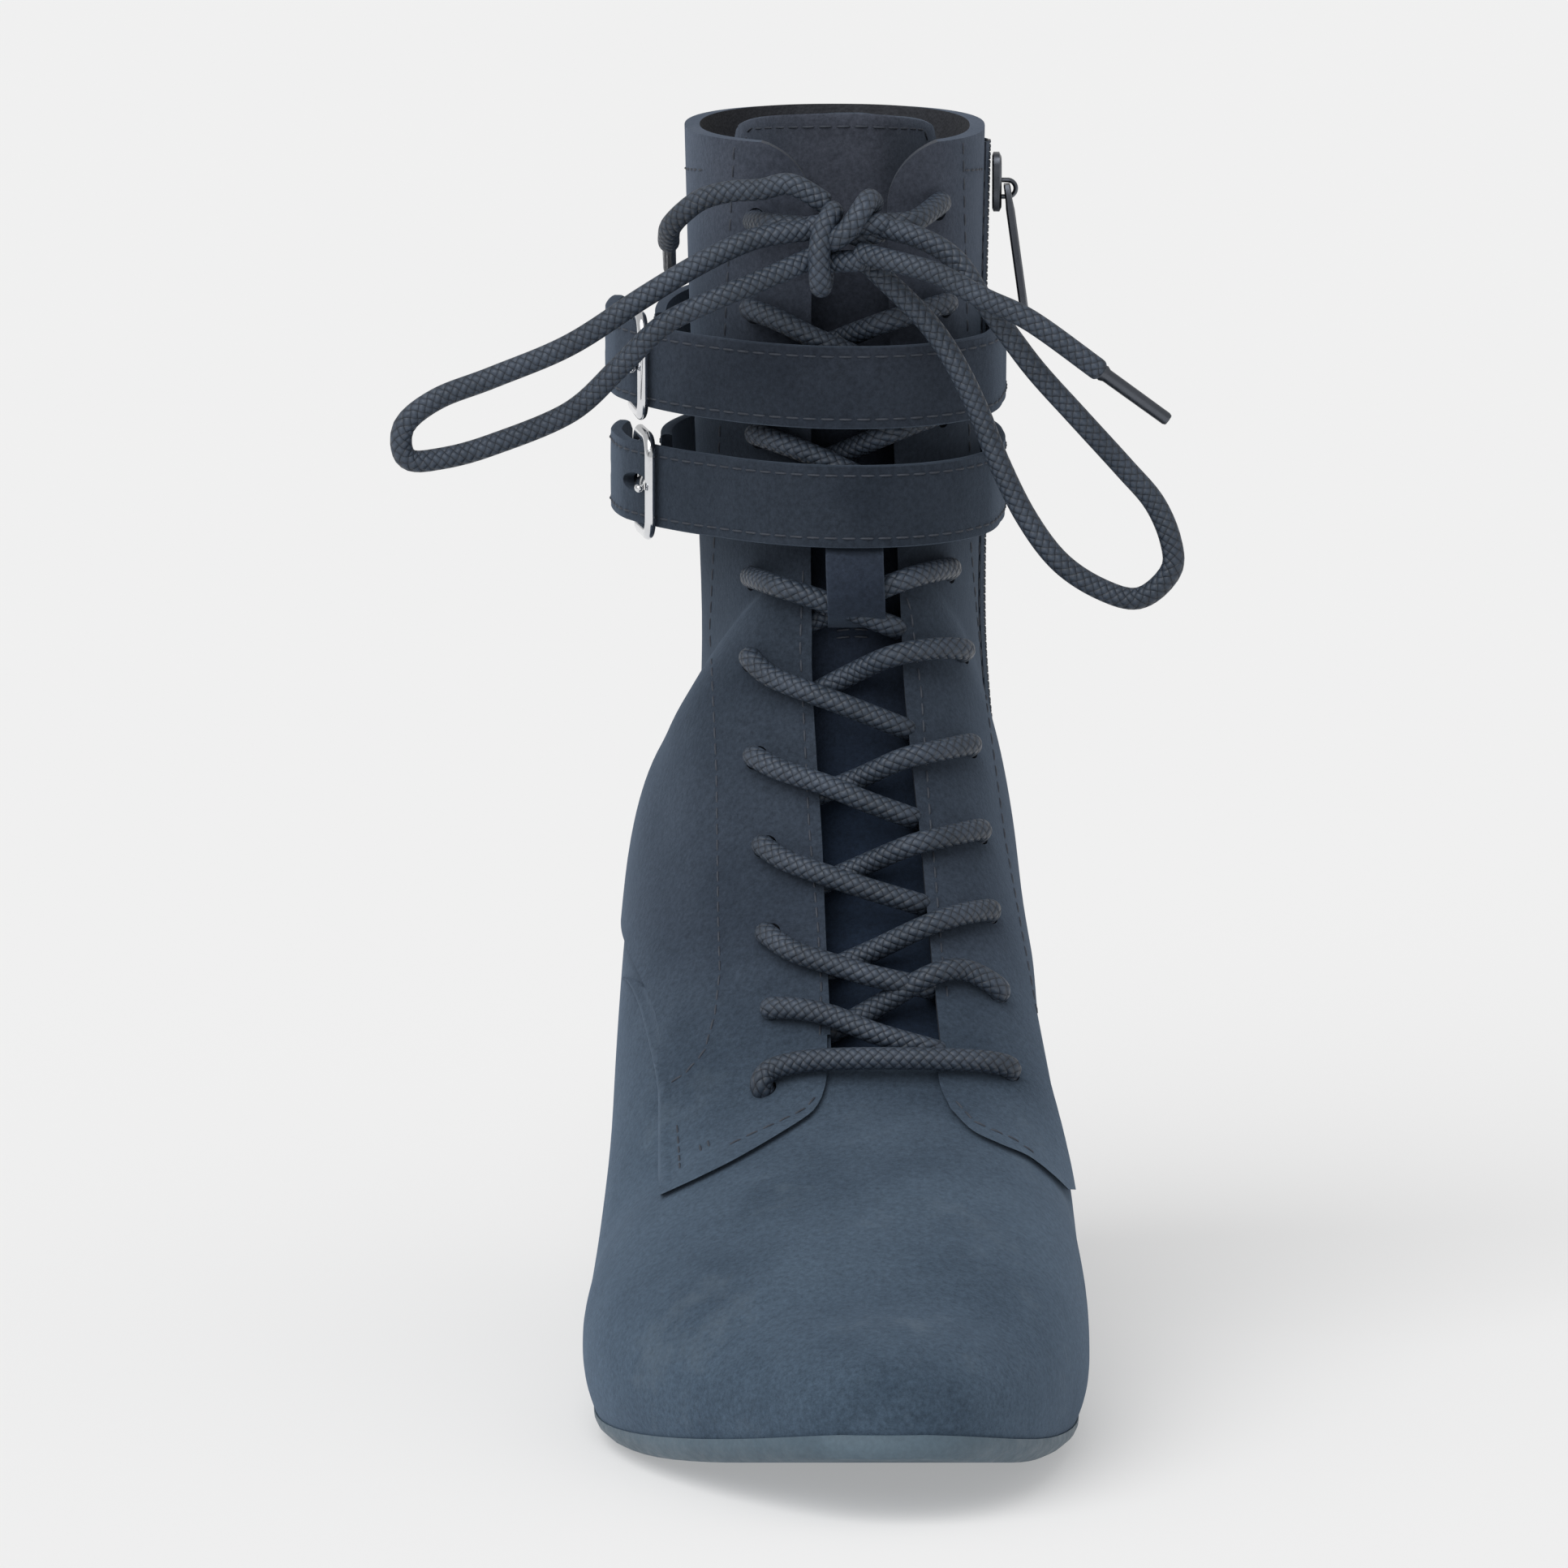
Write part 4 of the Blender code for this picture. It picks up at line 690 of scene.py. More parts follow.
def plait_height(s):
    """Strands crossing over and under one another, 0 to 1, from the cord's map of turn and rise."""
    place = s.node("ShaderNodeUVMap")
    place.uv_map = "plait"
    parts = s.node("ShaderNodeSeparateXYZ", Vector=place.outputs["UV"])
    turn = s.math("MULTIPLY", parts.outputs["X"], PLAIT_STRANDS)
    rise = s.math("MULTIPLY", parts.outputs["Y"], PLAIT_STRANDS)
    waves, rows = [], []
    for strand in (s.math("ADD", turn, rise), s.math("SUBTRACT", turn, rise)):
        rows.append(s.math("FLOOR", strand))
        waves.append(s.math("SINE", s.math("MULTIPLY", s.math("SUBTRACT", strand, rows[-1]), math.pi)))
    odd = s.math("ABSOLUTE", s.math("MODULO", s.math("ADD", *rows), 2.0))
    heights = []
    for over, under in (waves, waves[::-1]):
        bulge = s.math("ADD", s.math("MULTIPLY", under, 0.45), 0.55)
        heights.append(s.math("MULTIPLY", s.math("POWER", over, 0.7), bulge))
    return s.math("ADD", s.math("MULTIPLY", heights[0], odd),
                  s.math("MULTIPLY", heights[1], s.math("SUBTRACT", 1.0, odd)))


def lace_look():
    s = Shader("waxed_cord", 0.5)
    fine = s.noise(2200, 3, 0.6)
    plait = plait_height(s)
    worn = s.ramp(s.noise(90, 3), [(0.3, (0.024, 0.034, 0.050)), (0.7, (0.042, 0.056, 0.080))])
    # Painted shade darkens the crevices between the strands and a painted highlight lightens their crowns.
    plait_painted_shade_and_highlight = s.ramp(plait, [(0.08, (0.30, 0.30, 0.32)), (0.35, (0.85, 0.85, 0.85)),
                          (0.95, (1.25, 1.25, 1.25))])
    s.colour(s.mix(1.0, s.mix(1.0, worn, plait_painted_shade_and_highlight, "MULTIPLY"),
                   s.ramp(fine, [(0.3, (0.85, 0.85, 0.85)), (0.7, (1.2, 1.2, 1.2))]), "MULTIPLY"))
    s.bump(s.math("ADD", plait, s.math("MULTIPLY", fine, 0.12)), 0.9, 0.00035)
    s.rough(s.ramp(s.noise(300, 3), [(0.3, (0.40, 0.40, 0.40)), (0.7, (0.58, 0.58, 0.58))]))
    s.surface.inputs["Specular IOR Level"].default_value = 0.4
    return s.material


def metal_look(name, colour, rough):
    s = Shader(name, rough, 1.0)
    s.colour(s.ramp(s.noise(260, 3), [(0.35, [c * 0.9 for c in colour]), (0.65, colour)]))
    s.rough(s.ramp(s.noise(700, 4), [(0.3, (rough * 0.7,) * 3), (0.7, (rough * 1.4,) * 3)]))
    s.bump(s.noise(1800, 2), 0.04, 0.0001)
    return s.material


def sole_look():
    s = Shader("sole_rubber_worn", 0.55)
    s.colour(s.mix(1.0, s.ramp(s.noise(60, 4), [(0.3, (0.060, 0.096, 0.128)), (0.7, (0.090, 0.134, 0.170))]),
                   s.ramp(s.noise(1300, 3), [(0.3, (0.9, 0.9, 0.9)), (0.7, (1.1, 1.1, 1.1))]), "MULTIPLY"))
    s.rough(s.ramp(s.noise(400, 4), [(0.3, (0.42, 0.42, 0.42)), (0.7, (0.68, 0.68, 0.68))]))
    s.bump(s.noise(900, 4), 0.12, 0.0003)
    return s.material


def lining_look():
    s = Shader("lining_cloth", 0.85)
    s.colour(s.ramp(s.noise(700, 4), [(0.3, (0.018, 0.020, 0.026)), (0.7, (0.034, 0.037, 0.046))]))
    weave = s.node("ShaderNodeTexVoronoi", Vector=s.coordinates, Scale=1700.0).outputs["Distance"]
    s.bump(weave, 0.3, 0.0003)
    return s.material


def insole_look():
    s = Shader("insole_leather", 0.6)
    s.colour(s.ramp(s.noise(50, 5), [(0.3, (0.050, 0.045, 0.042)), (0.7, (0.085, 0.076, 0.070))]))
    grain = s.node("ShaderNodeTexVoronoi", Vector=s.coordinates, Scale=900.0).outputs["Distance"]
    s.bump(grain, 0.25, 0.0003)
    return s.material


def tape_look():
    s = Shader("zip_tape_weave", 0.8)
    s.colour(s.ramp(s.noise(1200, 3), [(0.3, (0.014, 0.016, 0.021)), (0.7, (0.030, 0.033, 0.041))]))
    s.bump(s.noise(1900, 2), 0.4, 0.0003)
    return s.material


def floor_look():
    s = Shader("studio_floor", 0.9)
    s.colour(s.ramp(s.noise(3, 2), [(0.0, (0.544, 0.544, 0.544)), (1.0, (0.548, 0.548, 0.548))]))
    s.surface.inputs["Specular IOR Level"].default_value = 0.0
    s.surface.inputs["Emission Color"].default_value = (1, 1, 1, 1)
    s.surface.inputs["Emission Strength"].default_value = FLOOR_GLOW
    return s.material


# The upper's creases: start and end in millimetres, half width, depth (a ridge where negative)
CREASES = [
    ((-36, -25, 112), (-30, -62, 84), 7.0, 1.0),
    ((-31, -20, 128), (-30, -48, 104), 4.0, 0.5),
    ((-33, -8, 122), (-34, -34, 100), 3.0, 0.45),
    ((34, -30, 112), (32, -62, 88), 5.0, 0.5),
    ((33, -10, 124), (36, -38, 98), 3.0, 0.4),
    ((-18, -118, 50), (16, -114, 52), 5.5, 0.55),
    ((-26, -128, 42), (2, -124, 48), 3.5, 0.35),
    ((8, -132, 46), (36, -126, 36), 4.0, 0.4),
    ((-36, -120, 20), (-30, -112, 40), 5.0, 0.5),
    ((-14, -150, 36), (12, -158, 32), 6.0, 0.35),
    ((22, -160, 24), (36, -140, 26), 7.0, 0.5),
    ((-6, -172, 26), (18, -176, 24), 5.0, -0.35),
    ((0, 26, 128), (-16, 22, 120), 4.0, 0.5),
    ((0, 27, 118), (16, 22, 110), 4.0, 0.5),
    ((-20, 16, 108), (-32, 0, 112), 5.0, 0.4),
]

# Stitch rows as they show from the camera, in pixels of the photograph
FRONT_SEAMS = [
    [(905, 178), (893, 420), (880, 676), (875, 774), (883, 952), (885, 1131), (887, 1198), (881, 1250),
     (868, 1295), (845, 1322), (818, 1340)],
    [(1186, 172), (1192, 420), (1196, 676), (1209, 819), (1227, 952), (1238, 1033), (1258, 1144),
     (1278, 1250), (1297, 1330)],
    [(990, 700), (986, 796), (997, 1019), (1008, 1144), (1012, 1216), (1010, 1287)],
    [(1104, 700), (1122, 752), (1135, 854), (1146, 1010), (1153, 1086), (1160, 1171), (1170, 1247)],
    [(769, 1200), (785, 1222), (797, 1252), (806, 1290), (812, 1330), (818, 1362)],
    [(818, 1362), (820, 1400), (822, 1450)],
    [(834, 1384), (836, 1410), (838, 1446)],
    [(862, 1410), (866, 1428)],
    [(872, 1404), (876, 1424)],
    [(1006, 1350), (992, 1366), (960, 1382), (920, 1400), (880, 1420)],
    [(1176, 1355), (1200, 1382), (1250, 1404), (1290, 1432)],
]
# Panel edges in pixels of the photograph, the strip's width in pixels and its rise in millimetres
LIPS = [
    ([(763, 1203), (776, 1212), (789, 1240), (799, 1278), (808, 1318), (812, 1350), (812, 1400),
      (812, 1462)], 16, 0.55),
]

# Stitches
STITCH = 2.5 * MM
STITCH_PITCH = 3.3 * MM
THREAD = 0.42 * MM


def skin_grid(levels, across):
    """Points and outward normals of the skin on a grid, with the creases pressed in."""
    points = np.array([[raw_point(u, v)[:] for v in across] for u in levels])
    outs = np.array([[(upper_point(u, v, 1.0) - raw_point(u, v))[:] for v in across] for u in levels])
    dip = np.zeros(points.shape[:2])
    for start, end, half, depth in CREASES:
        a, b = np.array(start) * MM, np.array(end) * MM
        run = b - a
        t = np.clip(((points - a) @ run) / (run @ run), 0, 1)
        off = np.linalg.norm(points - (a + t[..., None] * run), axis=-1) / (half * MM)
        dip += depth * MM * np.exp(-off ** 2) * (0.35 + 0.65 * np.sin(np.pi * t))
    return points - outs * dip[..., None], outs


def grid_skin(name, points, outs, lift):
    bm = bmesh.new()
    placed = points + outs * lift
    rows = [[bm.verts.new(p) for p in row] for row in placed]
    for low, high in zip(rows, rows[1:]):
        for i in range(len(low) - 1):
            bm.faces.new((low[i], low[i + 1], high[i + 1], high[i]))
    bmesh.ops.remove_doubles(bm, verts=bm.verts, dist=1e-5)
    bmesh.ops.dissolve_degenerate(bm, edges=bm.edges, dist=1e-6)
    bmesh.ops.recalc_face_normals(bm, faces=bm.faces)
    front = max(bm.faces, key=lambda f: f.calc_center_median().z - f.calc_center_median().y * 0.01)
    if front.normal.dot(front.calc_center_median() - Vector((0, 0, front.calc_center_median().z))) < 0:
        bmesh.ops.reverse_faces(bm, faces=bm.faces)
    mesh = bpy.data.meshes.new(name)
    bm.to_mesh(mesh)
    bm.free()
    return new_object(name, mesh)


def combine(target, other, operation):
    add(target, "BOOLEAN", operation=operation, object=other, solver="EXACT")
    bake(target)
    bpy.data.objects.remove(other, do_unlink=True)


def cutter(name, rings):
    return finished(name, skin_of_rings(rings), bpy.data.materials["cut_edge"])


def quarter_block():
    """What lies behind the quarters' front edge, pushed through the boot from side to side."""
    high, back = COLLAR_Z + CUT_MARGIN, HEEL_OVERHANG + CUT_MARGIN
    line = [Vector((0, y_at(along), rise * SHAFT_HEIGHT)) for along, rise in QUARTER_LINE]
    outline = line[:3] + smooth_points(line[3:], 40)
    outline += [Vector((0, back, outline[-1].z)), Vector((0, back, high)),
                Vector((0, outline[0].y, high))]
    return cutter("quarter_block", [[Vector((x, p.y, p.z)) for p in outline]
                                    for x in (-BALL_WIDTH, BALL_WIDTH)])


def facing_block():
    """What the quarters leave free on the vamp, seen from the front, pushed back along its fall."""
    line = [Vector((x * HALF_BALL, y_at(FACING_PLANE), z * SHAFT_HEIGHT)) for x, z in FACING_LINE]
    outline = smooth_points(line[:8], 40) + smooth_points(line[8:13], 20)
    outline += smooth_points(line[12:15], 12)[1:] + smooth_points(line[15:18], 12)
    outline += smooth_points(line[17:23], 30)[1:] + line[23:]
    low = Vector((0, y_at(FACING_PLANE), -SHAFT_HEIGHT / 4))
    wide = Vector((HALF_BALL + CUT_MARGIN, 0, 0))
    outline += [low + wide, low - wide]
    return cutter("facing_block", [[p + Vector((0, way, -way * FACING_FALL)) for p in outline]
                                   for way in [share * BOOT_LENGTH for share in FACING_REACH]])


def throat_block():
    rings = []
    deep = 12 * MM
    stations = [THROAT_FOOT + i * (THROAT_LENGTH - THROAT_FOOT) / 30 for i in range(28)]
    stations += [THROAT_LENGTH - FLAP_CORNER * (1 - i / 24) for i in range(25)]
    stations += [THROAT_LENGTH + 0.4 * FLAP_CORNER]
    for length in sorted(stations):
        u = u_at(length) + max(length - THROAT_LENGTH, 0) / TONGUE_RISE
        middle, out = raw_point(u, 0), normal_at(min(u, LAST_ROW), 0)
        half = half_gap(length)
        rings.append([middle + Vector((side * half, 0, 0)) + out * depth for side, depth in (
            (-1, -deep), (1, -deep), (1, deep), (-1, deep))])
    return cutter("throat_block", rings)


def eyelet_pins():
    bm = bmesh.new()
    for side in (-1, 1):
        for row in range(len(EYELET_ROWS)):
            turn = Vector((0, 0, 1)).rotation_difference(normal_at(*eyelet(row, side)))
            bmesh.ops.create_cone(bm, cap_ends=True, segments=20, radius1=EYELET_RADIUS,
                                  radius2=EYELET_RADIUS, depth=EYELET_CUT,
                                  matrix=Matrix.Translation(over_skin(EYELETS[side > 0][row], 0))
                                  @ turn.to_matrix().to_4x4())
    return finished("eyelet_pins", bm, bpy.data.materials["cut_edge"])


def make_upper(looks):
    levels = []
    for low, high in zip(LEVELS, LEVELS[1:]):
        levels += [low + (high - low) * i / 4 for i in range(4)]
    levels.append(LEVELS[-1])
    across = [-1 + 2 * i / 104 for i in range(105)]
    points, outs = skin_grid(levels, across)
    upper = grid_skin("upper_shell", points, outs, 0.0)
    for look in (looks["suede"], looks["lining"], looks["cut"]):
        upper.data.materials.append(look)
    add(upper, "SOLIDIFY", thickness=WALL, offset=-1, material_offset=1, material_offset_rim=0)
    bake(upper)
    quarter = grid_skin("quarter_shell", points, outs, OVERLAY)
    for look in (looks["suede"], looks["lining"], looks["cut"]):
        quarter.data.materials.append(look)
    add(quarter, "SOLIDIFY", thickness=OVERLAY + WALL / 2, offset=-1)
    bake(quarter)
    combine(quarter, quarter_block(), "INTERSECT")
    combine(quarter, facing_block(), "DIFFERENCE")
    combine(upper, quarter, "UNION")
    combine(upper, throat_block(), "DIFFERENCE")
    combine(upper, eyelet_pins(), "DIFFERENCE")
    upper.data.shade_smooth()
    upper.data.set_sharp_from_angle(angle=math.radians(38))
    return show_as(upper, "upper", slot="suede")


def stitch_rows(name, rows, look):
    """Short thread stitches half sunk in a surface; each row is a list of point and outward pairs."""
    bm = bmesh.new()
    for row in rows:
        lengths = [0.0]
        for (a, _), (b, _) in zip(row, row[1:]):
            lengths.append(lengths[-1] + (b - a).length)
        place = STITCH_PITCH / 2
        while place + STITCH / 2 < lengths[-1]:
            ends = []
            for at in (place - STITCH / 2, place, place + STITCH / 2):
                ends.append(Vector([np.interp(at, lengths, [p[0][k] for p in row]) for k in range(3)]))
            out = Vector([np.interp(place, lengths, [p[1][k] for p in row]) for k in range(3)])
            stitch(bm, ends, out.normalized())
            place += STITCH_PITCH
    return finished(name, bm, look)


def stitch(bm, ends, out):
    run = (ends[2] - ends[0]).normalized()
    side = run.cross(out).normalized()
    rings = []
    for t, wide, high in ((-1.0, 0.35, -0.5), (-0.75, 0.9, 0.1), (0, 1.0, 0.35), (0.75, 0.9, 0.1),
                          (1.0, 0.35, -0.5)):
        middle = ends[1] + (ends[2] - ends[0]) * t / 2 + out * high * THREAD / 2
        rings.append([middle + (side * math.cos(a) * wide + out * math.sin(a) * wide) * THREAD / 2
                      for a in [math.pi * k / 3 for k in range(6)]])
    rows = [[bm.verts.new(p) for p in ring] for ring in rings]
    for low, high in zip(rows, rows[1:]):
        for i in range(6):
            bm.faces.new((low[i], low[(i + 1) % 6], high[(i + 1) % 6], high[i]))
    bm.faces.new(rows[0])
    bm.faces.new(rows[-1])


def seam_rows(target, seams):
    """Photograph pixels dropped on a piece, as rows of point and outward pairs."""
    tree = BVHTree.FromObject(target, bpy.context.evaluated_depsgraph_get())
    rows = []
    for line in seams:
        row = []
        for (ax, ay), (bx, by) in zip(line, line[1:]):
            steps = max(int(math.hypot(bx - ax, by - ay) / 6), 1)
            for i in range(steps):
                t = i / steps
                run = photo_ray(ax + (bx - ax) * t, ay + (by - ay) * t)
                hit, out, _, _ = tree.ray_cast(CAMERA_AT, run)
                if row and (not hit or (hit - row[-1][0]).length > 4 * MM):
                    rows.append(row)
                    row = []
                if hit:
                    row.append((hit, out))
        rows.append(row)
    return [row for row in rows if len(row) > 2]


def skin_row(places, lift):
    """A stitch row from section and side pairs."""
    row = []
    for (ua, va), (ub, vb) in zip(places, places[1:]):
        for i in range(12):
            u, v = ua + (ub - ua) * i / 12, va + (vb - va) * i / 12
            row.append((upper_point(u, v, lift), normal_at(u, v)))
    return row


def make_lips(upper, looks):
    """Panel edges: a strip that stands up at the seam and runs out beside it."""
    tree = BVHTree.FromObject(upper, bpy.context.evaluated_depsgraph_get())
    for number, (line, wide, rise) in enumerate(LIPS):
        rings = []
        places = smooth_points([Vector((x, y, 0)) for x, y in line], 60)
        for k, place in enumerate(places):
            fade = min(k / 3, (len(places) - 1 - k) / 3, 1)
            ring = []
            for shift, lift in ((0, -0.3), (0, 0.55), (0.12, 0.95), (0.3, 1.0), (0.65, 0.55), (1.0, -0.1),
                                (1.0, -0.5)):
                run = photo_ray(place.x + shift * wide, place.y)
                hit, out, _, _ = tree.ray_cast(CAMERA_AT, run)
                if not hit:
                    break
                ring.append(hit + out * lift * rise * fade * MM)
            if len(ring) == 7:
                rings.append(ring)
        show_as(finished("panel_lip_%d" % number, skin_of_rings(rings), looks["suede"], 60), slot="suede")


def make_seams(upper, looks):
    rows = seam_rows(upper, FRONT_SEAMS)
    top = OVERLAY
    rows.append(skin_row([(19.75, -0.9), (19.75, -0.28)], top))
    rows.append(skin_row([(19.75, 0.28), (19.75, 0.43)], top))
    rows.append(skin_row([(19.75, 0.6), (19.75, 0.9)], top))
    for v in (-0.93, 0.93):
        rows.append(skin_row([(19.8, v), (18, v), (17, v), (16.2, v)], top))
    for side in (-1, 1):
        y = ZIP_Y + side * 5.2 * MM
        heights = [ZIP_BOTTOM - 4 * MM + k * 2.6 * MM for k in range(52)]
        rows.append([(skin_at_side(y, z, top + 0.05 * MM), Vector((1, 0, 0))) for z in heights])
    show_as(stitch_rows("upper_seams", rows, looks["thread"]), slot="suede")


def make_back_strip(looks):
    """The narrow strip that covers the back seam."""
    rings = []
    for i in range(40):
        u = 16.2 + (LAST_ROW - 16.25) * i / 39
        ring = []
        for v in (-0.955, -0.97, -0.985, -1.0):
            ring.append((u, v))
        for v in (0.985, 0.97, 0.955):
            ring.append((u, v))
        outer = [upper_point(u, v, OVERLAY + (0.55 * MM if 0 < k < 6 else 0.1 * MM))
                 for k, (u, v) in enumerate(ring)]
        inner = [upper_point(u, v, OVERLAY - 0.3 * MM) for u, v in reversed(ring)]
        rings.append(outer + inner)
    show_as(finished("back_strip", skin_of_rings(rings), looks["suede"], 50), slot="suede")


def tongue_ring(u, length, deeper=0.0, count=40):
    across = [-1 + 2 * i / count for i in range(count + 1)]
    outer = [tongue_point(u, s, length, deeper + (0.5 * MM if abs(s) == 1 else 0)) for s in across]
    inner = [tongue_point(u, s, length, TONGUE_THICKNESS - deeper - (0.5 * MM if abs(s) == 1 else 0))
             for s in reversed(across)]
    return outer + inner


def make_tongue(looks):
    rings, section_run = [], 18 * MM
    for i in range(70):
        length = -TONGUE_ROOT + i * (THROAT_LENGTH + TONGUE_ROOT) / 69
        u = u_at(length) if length > 0 else THROAT_ROW + length / section_run
        rings.append(tongue_ring(u, length))
    for over, deeper in ((0.5, 0), (0.9, 0.1 * MM), (1.0, 0.5 * MM)):
        rings.append(tongue_ring(LAST_ROW + over, THROAT_LENGTH, deeper))
    show_as(finished("tongue_leather", skin_of_rings(rings), looks["tongue"], 60), "tongue",
            slot="tongue_suede")
    rows = [[(tongue_point(LAST_ROW + 0.4, s / 20, THROAT_LENGTH, -0.05 * MM), normal_at(LAST_ROW, 0))
             for s in range(-18, 19)]]
    place = row_length(KEEPER_ROW) - KEEPER_HEIGHT * 0.93
    rows.append([(lace_point(place, x * MM, -tongue_depth(place) + 0.15 * MM), normal_at(u_at(place), 0))
                 for x in range(-5, 6)])
    rows.append([(lace_point(place - 1.4 * MM, x * MM, -tongue_depth(place) + 0.15 * MM),
                  normal_at(u_at(place), 0)) for x in range(-5, 6)])
    show_as(stitch_rows("tongue_seams", rows, looks["thread"]), slot="tongue_suede")


def make_keeper(looks):
    length, thick, half = row_length(KEEPER_ROW), KEEPER_THICKNESS, KEEPER_WIDTH / 2 + 1.0 * MM
    rings = []
    for i in range(31):
        t = i / 30
        place = length - KEEPER_HEIGHT * (0.91 - t)
        u = u_at(place)
        base = -tongue_depth(place) + GAP + KEEPER_SWELL * math.sin(math.pi * t) ** 0.3
        middle, out = raw_point(u, 0), normal_at(u, 0)
        rings.append([middle + Vector((side * half, 0, 0)) + out * lift for side, lift in (
            (-1, base), (1, base), (1, base + thick * 0.6), (0.93, base + thick),
            (-0.93, base + thick), (-1, base + thick * 0.6))])
    show_as(finished("tongue_loop", skin_of_rings(rings), looks["tongue"], 50), "tongue_keeper",
            slot="tongue_suede")


# Cords
PLAIT_STRANDS = 6
PLAIT_PITCH = 10.5 * MM       # a strand's rise for one turn
CORD_STEP = 0.8 * MM


def round_cord(bm, route, diameter, sides=20):
    """A cord along a route, with rounded ends and a map of turn and rise for its plait."""
    p = np.array([q[:] for q in route])
    steps = np.r_[0, np.cumsum(np.linalg.norm(np.diff(p, axis=0), axis=1))]
    at = np.linspace(0, steps[-1], max(int(steps[-1] / CORD_STEP), 8))
    near = 0.12 * diameter
    at = np.unique(np.r_[at, near, 2.2 * near, steps[-1] - 2.2 * near, steps[-1] - near])
    line = np.stack([np.interp(at, steps, p[:, k]) for k in range(3)], axis=1)
    run = np.gradient(line, axis=0)
    run /= np.linalg.norm(run, axis=1)[:, None]
    side = np.cross(run[0], [0.3, 0.2, 0.93])
    sides_out = []
    for t in run:
        side = side - t * (side @ t)
        side = side / np.linalg.norm(side)
        sides_out.append(side)
    side = np.array(sides_out)
    up = np.cross(run, side)
    end = np.minimum(np.minimum(at, at[-1] - at) / (0.35 * diameter), 1)
    radius = diameter / 2 * np.sqrt(np.maximum(1 - (1 - end) ** 2, 0.02))[:, None]
    angle = 2 * np.pi * np.arange(sides) / sides
    rings = (line[:, None] + radius[..., None] * (side[:, None] * np.cos(angle)[None, :, None]
                                                  + up[:, None] * np.sin(angle)[None, :, None]))
    plait = bm.loops.layers.uv.verify()
    rows = [[bm.verts.new(q) for q in ring] for ring in rings]
    for k, (low, high) in enumerate(zip(rows, rows[1:])):
        below, above = at[k] / PLAIT_PITCH, at[k + 1] / PLAIT_PITCH
        for i in range(sides):
            j = (i + 1) % sides
            face = bm.faces.new((low[i], low[j], high[j], high[i]))
            for loop, place in zip(face.loops, ((i, below), (i + 1, below), (i + 1, above), (i, above))):
                loop[plait].uv = (place[0] / sides, place[1])
    bm.faces.new(rows[0])
    bm.faces.new(rows[-1])


def cord_piece(name, routes, look):
    bm = bmesh.new()
    for route in routes:
        round_cord(bm, route, LACE)
    piece = finished(name, bm, look)
    piece.data.uv_layers[0].name = "plait"
    return piece


# Each lace in pixels of the photograph: out of its eyelet, on the facing, at the facing's edge, in
# the gap, and at the far edge
LACES = [
    [(951, 1242), (985, 1243), (1026, 1252), (1078, 1273), (1148, 1293)],
    [(1230, 1217), (1188, 1195), (1146, 1202), (1086, 1237), (1024, 1272)],
    [(944, 1150), (977, 1172), (1026, 1188), (1077, 1203), (1138, 1216)],
    [(1219, 1121), (1178, 1128), (1138, 1142), (1072, 1173), (1018, 1196)],
    [(940, 1042), (968, 1060), (1026, 1081), (1075, 1097), (1130, 1113)],
    [(1207, 1022), (1165, 1031), (1124, 1041), (1066, 1065), (1014, 1088)],
    [(929, 932), (960, 948), (1017, 967), (1066, 987), (1119, 1006)],
    [(1195, 917), (1155, 925), (1112, 935), (1058, 959), (1006, 980)],
    [(924, 811), (949, 833), (1001, 854), (1052, 873), (1111, 896)],
    [(1187, 800), (1150, 799), (1100, 808), (1054, 828), (1000, 856)],
    [(926, 711), (960, 723), (1004, 737), (1050, 753), (1100, 772)],
    [(1170, 700), (1134, 708), (1096, 721), (1050, 742), (1001, 765)],
    [(931, 535), (960, 545), (1000, 560), (1048, 582), (1092, 602)],
    [(1163, 508), (1127, 521), (1090, 536), (1042, 556), (1000, 573)],
    [(925, 381), (960, 395), (1000, 415), (1046, 435), (1087, 455)],
    [(1166, 374), (1130, 385), (1090, 397), (1042, 415), (1000, 431)],
]
LACE_BAR = [(937, 1336), (948, 1319), (982, 1309), (1026, 1305), (1091, 1304), (1164, 1305),
            (1216, 1308), (1244, 1315)]
# Middles of the eyelets in pixels of the photograph, lateral and medial, from the throat up
EYELETS = [
    [(943, 1346), (955, 1247), (949, 1154), (945, 1046), (935, 936), (930, 815), (932, 714), (938, 537),
     (932, 383), (936, 271)],
    [(1240, 1324), (1226, 1226), (1214, 1128), (1203, 1029), (1191, 922), (1182, 805), (1166, 704),
     (1157, 511), (1161, 376), (1152, 256)]]


@lru_cache(maxsize=None)
def bare_skin():
    """The boot's skin without its throat, to drop pixels on."""
    levels = [LEVELS[0] + (LEVELS[-1] - LEVELS[0]) * i / 90 for i in range(91)]
    across = [-1 + 2 * i / 60 for i in range(61)]
    points = [raw_point(u, v) for u in levels for v in across]
    faces = [(a * 61 + b, a * 61 + b + 1, a * 61 + b + 62, a * 61 + b + 61)
             for a in range(90) for b in range(60)]
    return BVHTree.FromPolygons(points, faces)


def over_skin(pixel, lift):
    """The point seen at a pixel that stands this far off the skin."""
    run = photo_ray(*pixel)
    hit, out, _, _ = bare_skin().ray_cast(CAMERA_AT, run)
    return hit - run * (lift / abs(out.dot(run)))


def through_eyelet(row, side):
    """From under the upper and up through an eyelet."""
    pixel = EYELETS[side > 0][row]
    return [over_skin(pixel, lift) for lift in (-WALL - 1.6 * MM, -0.2 * MM)]


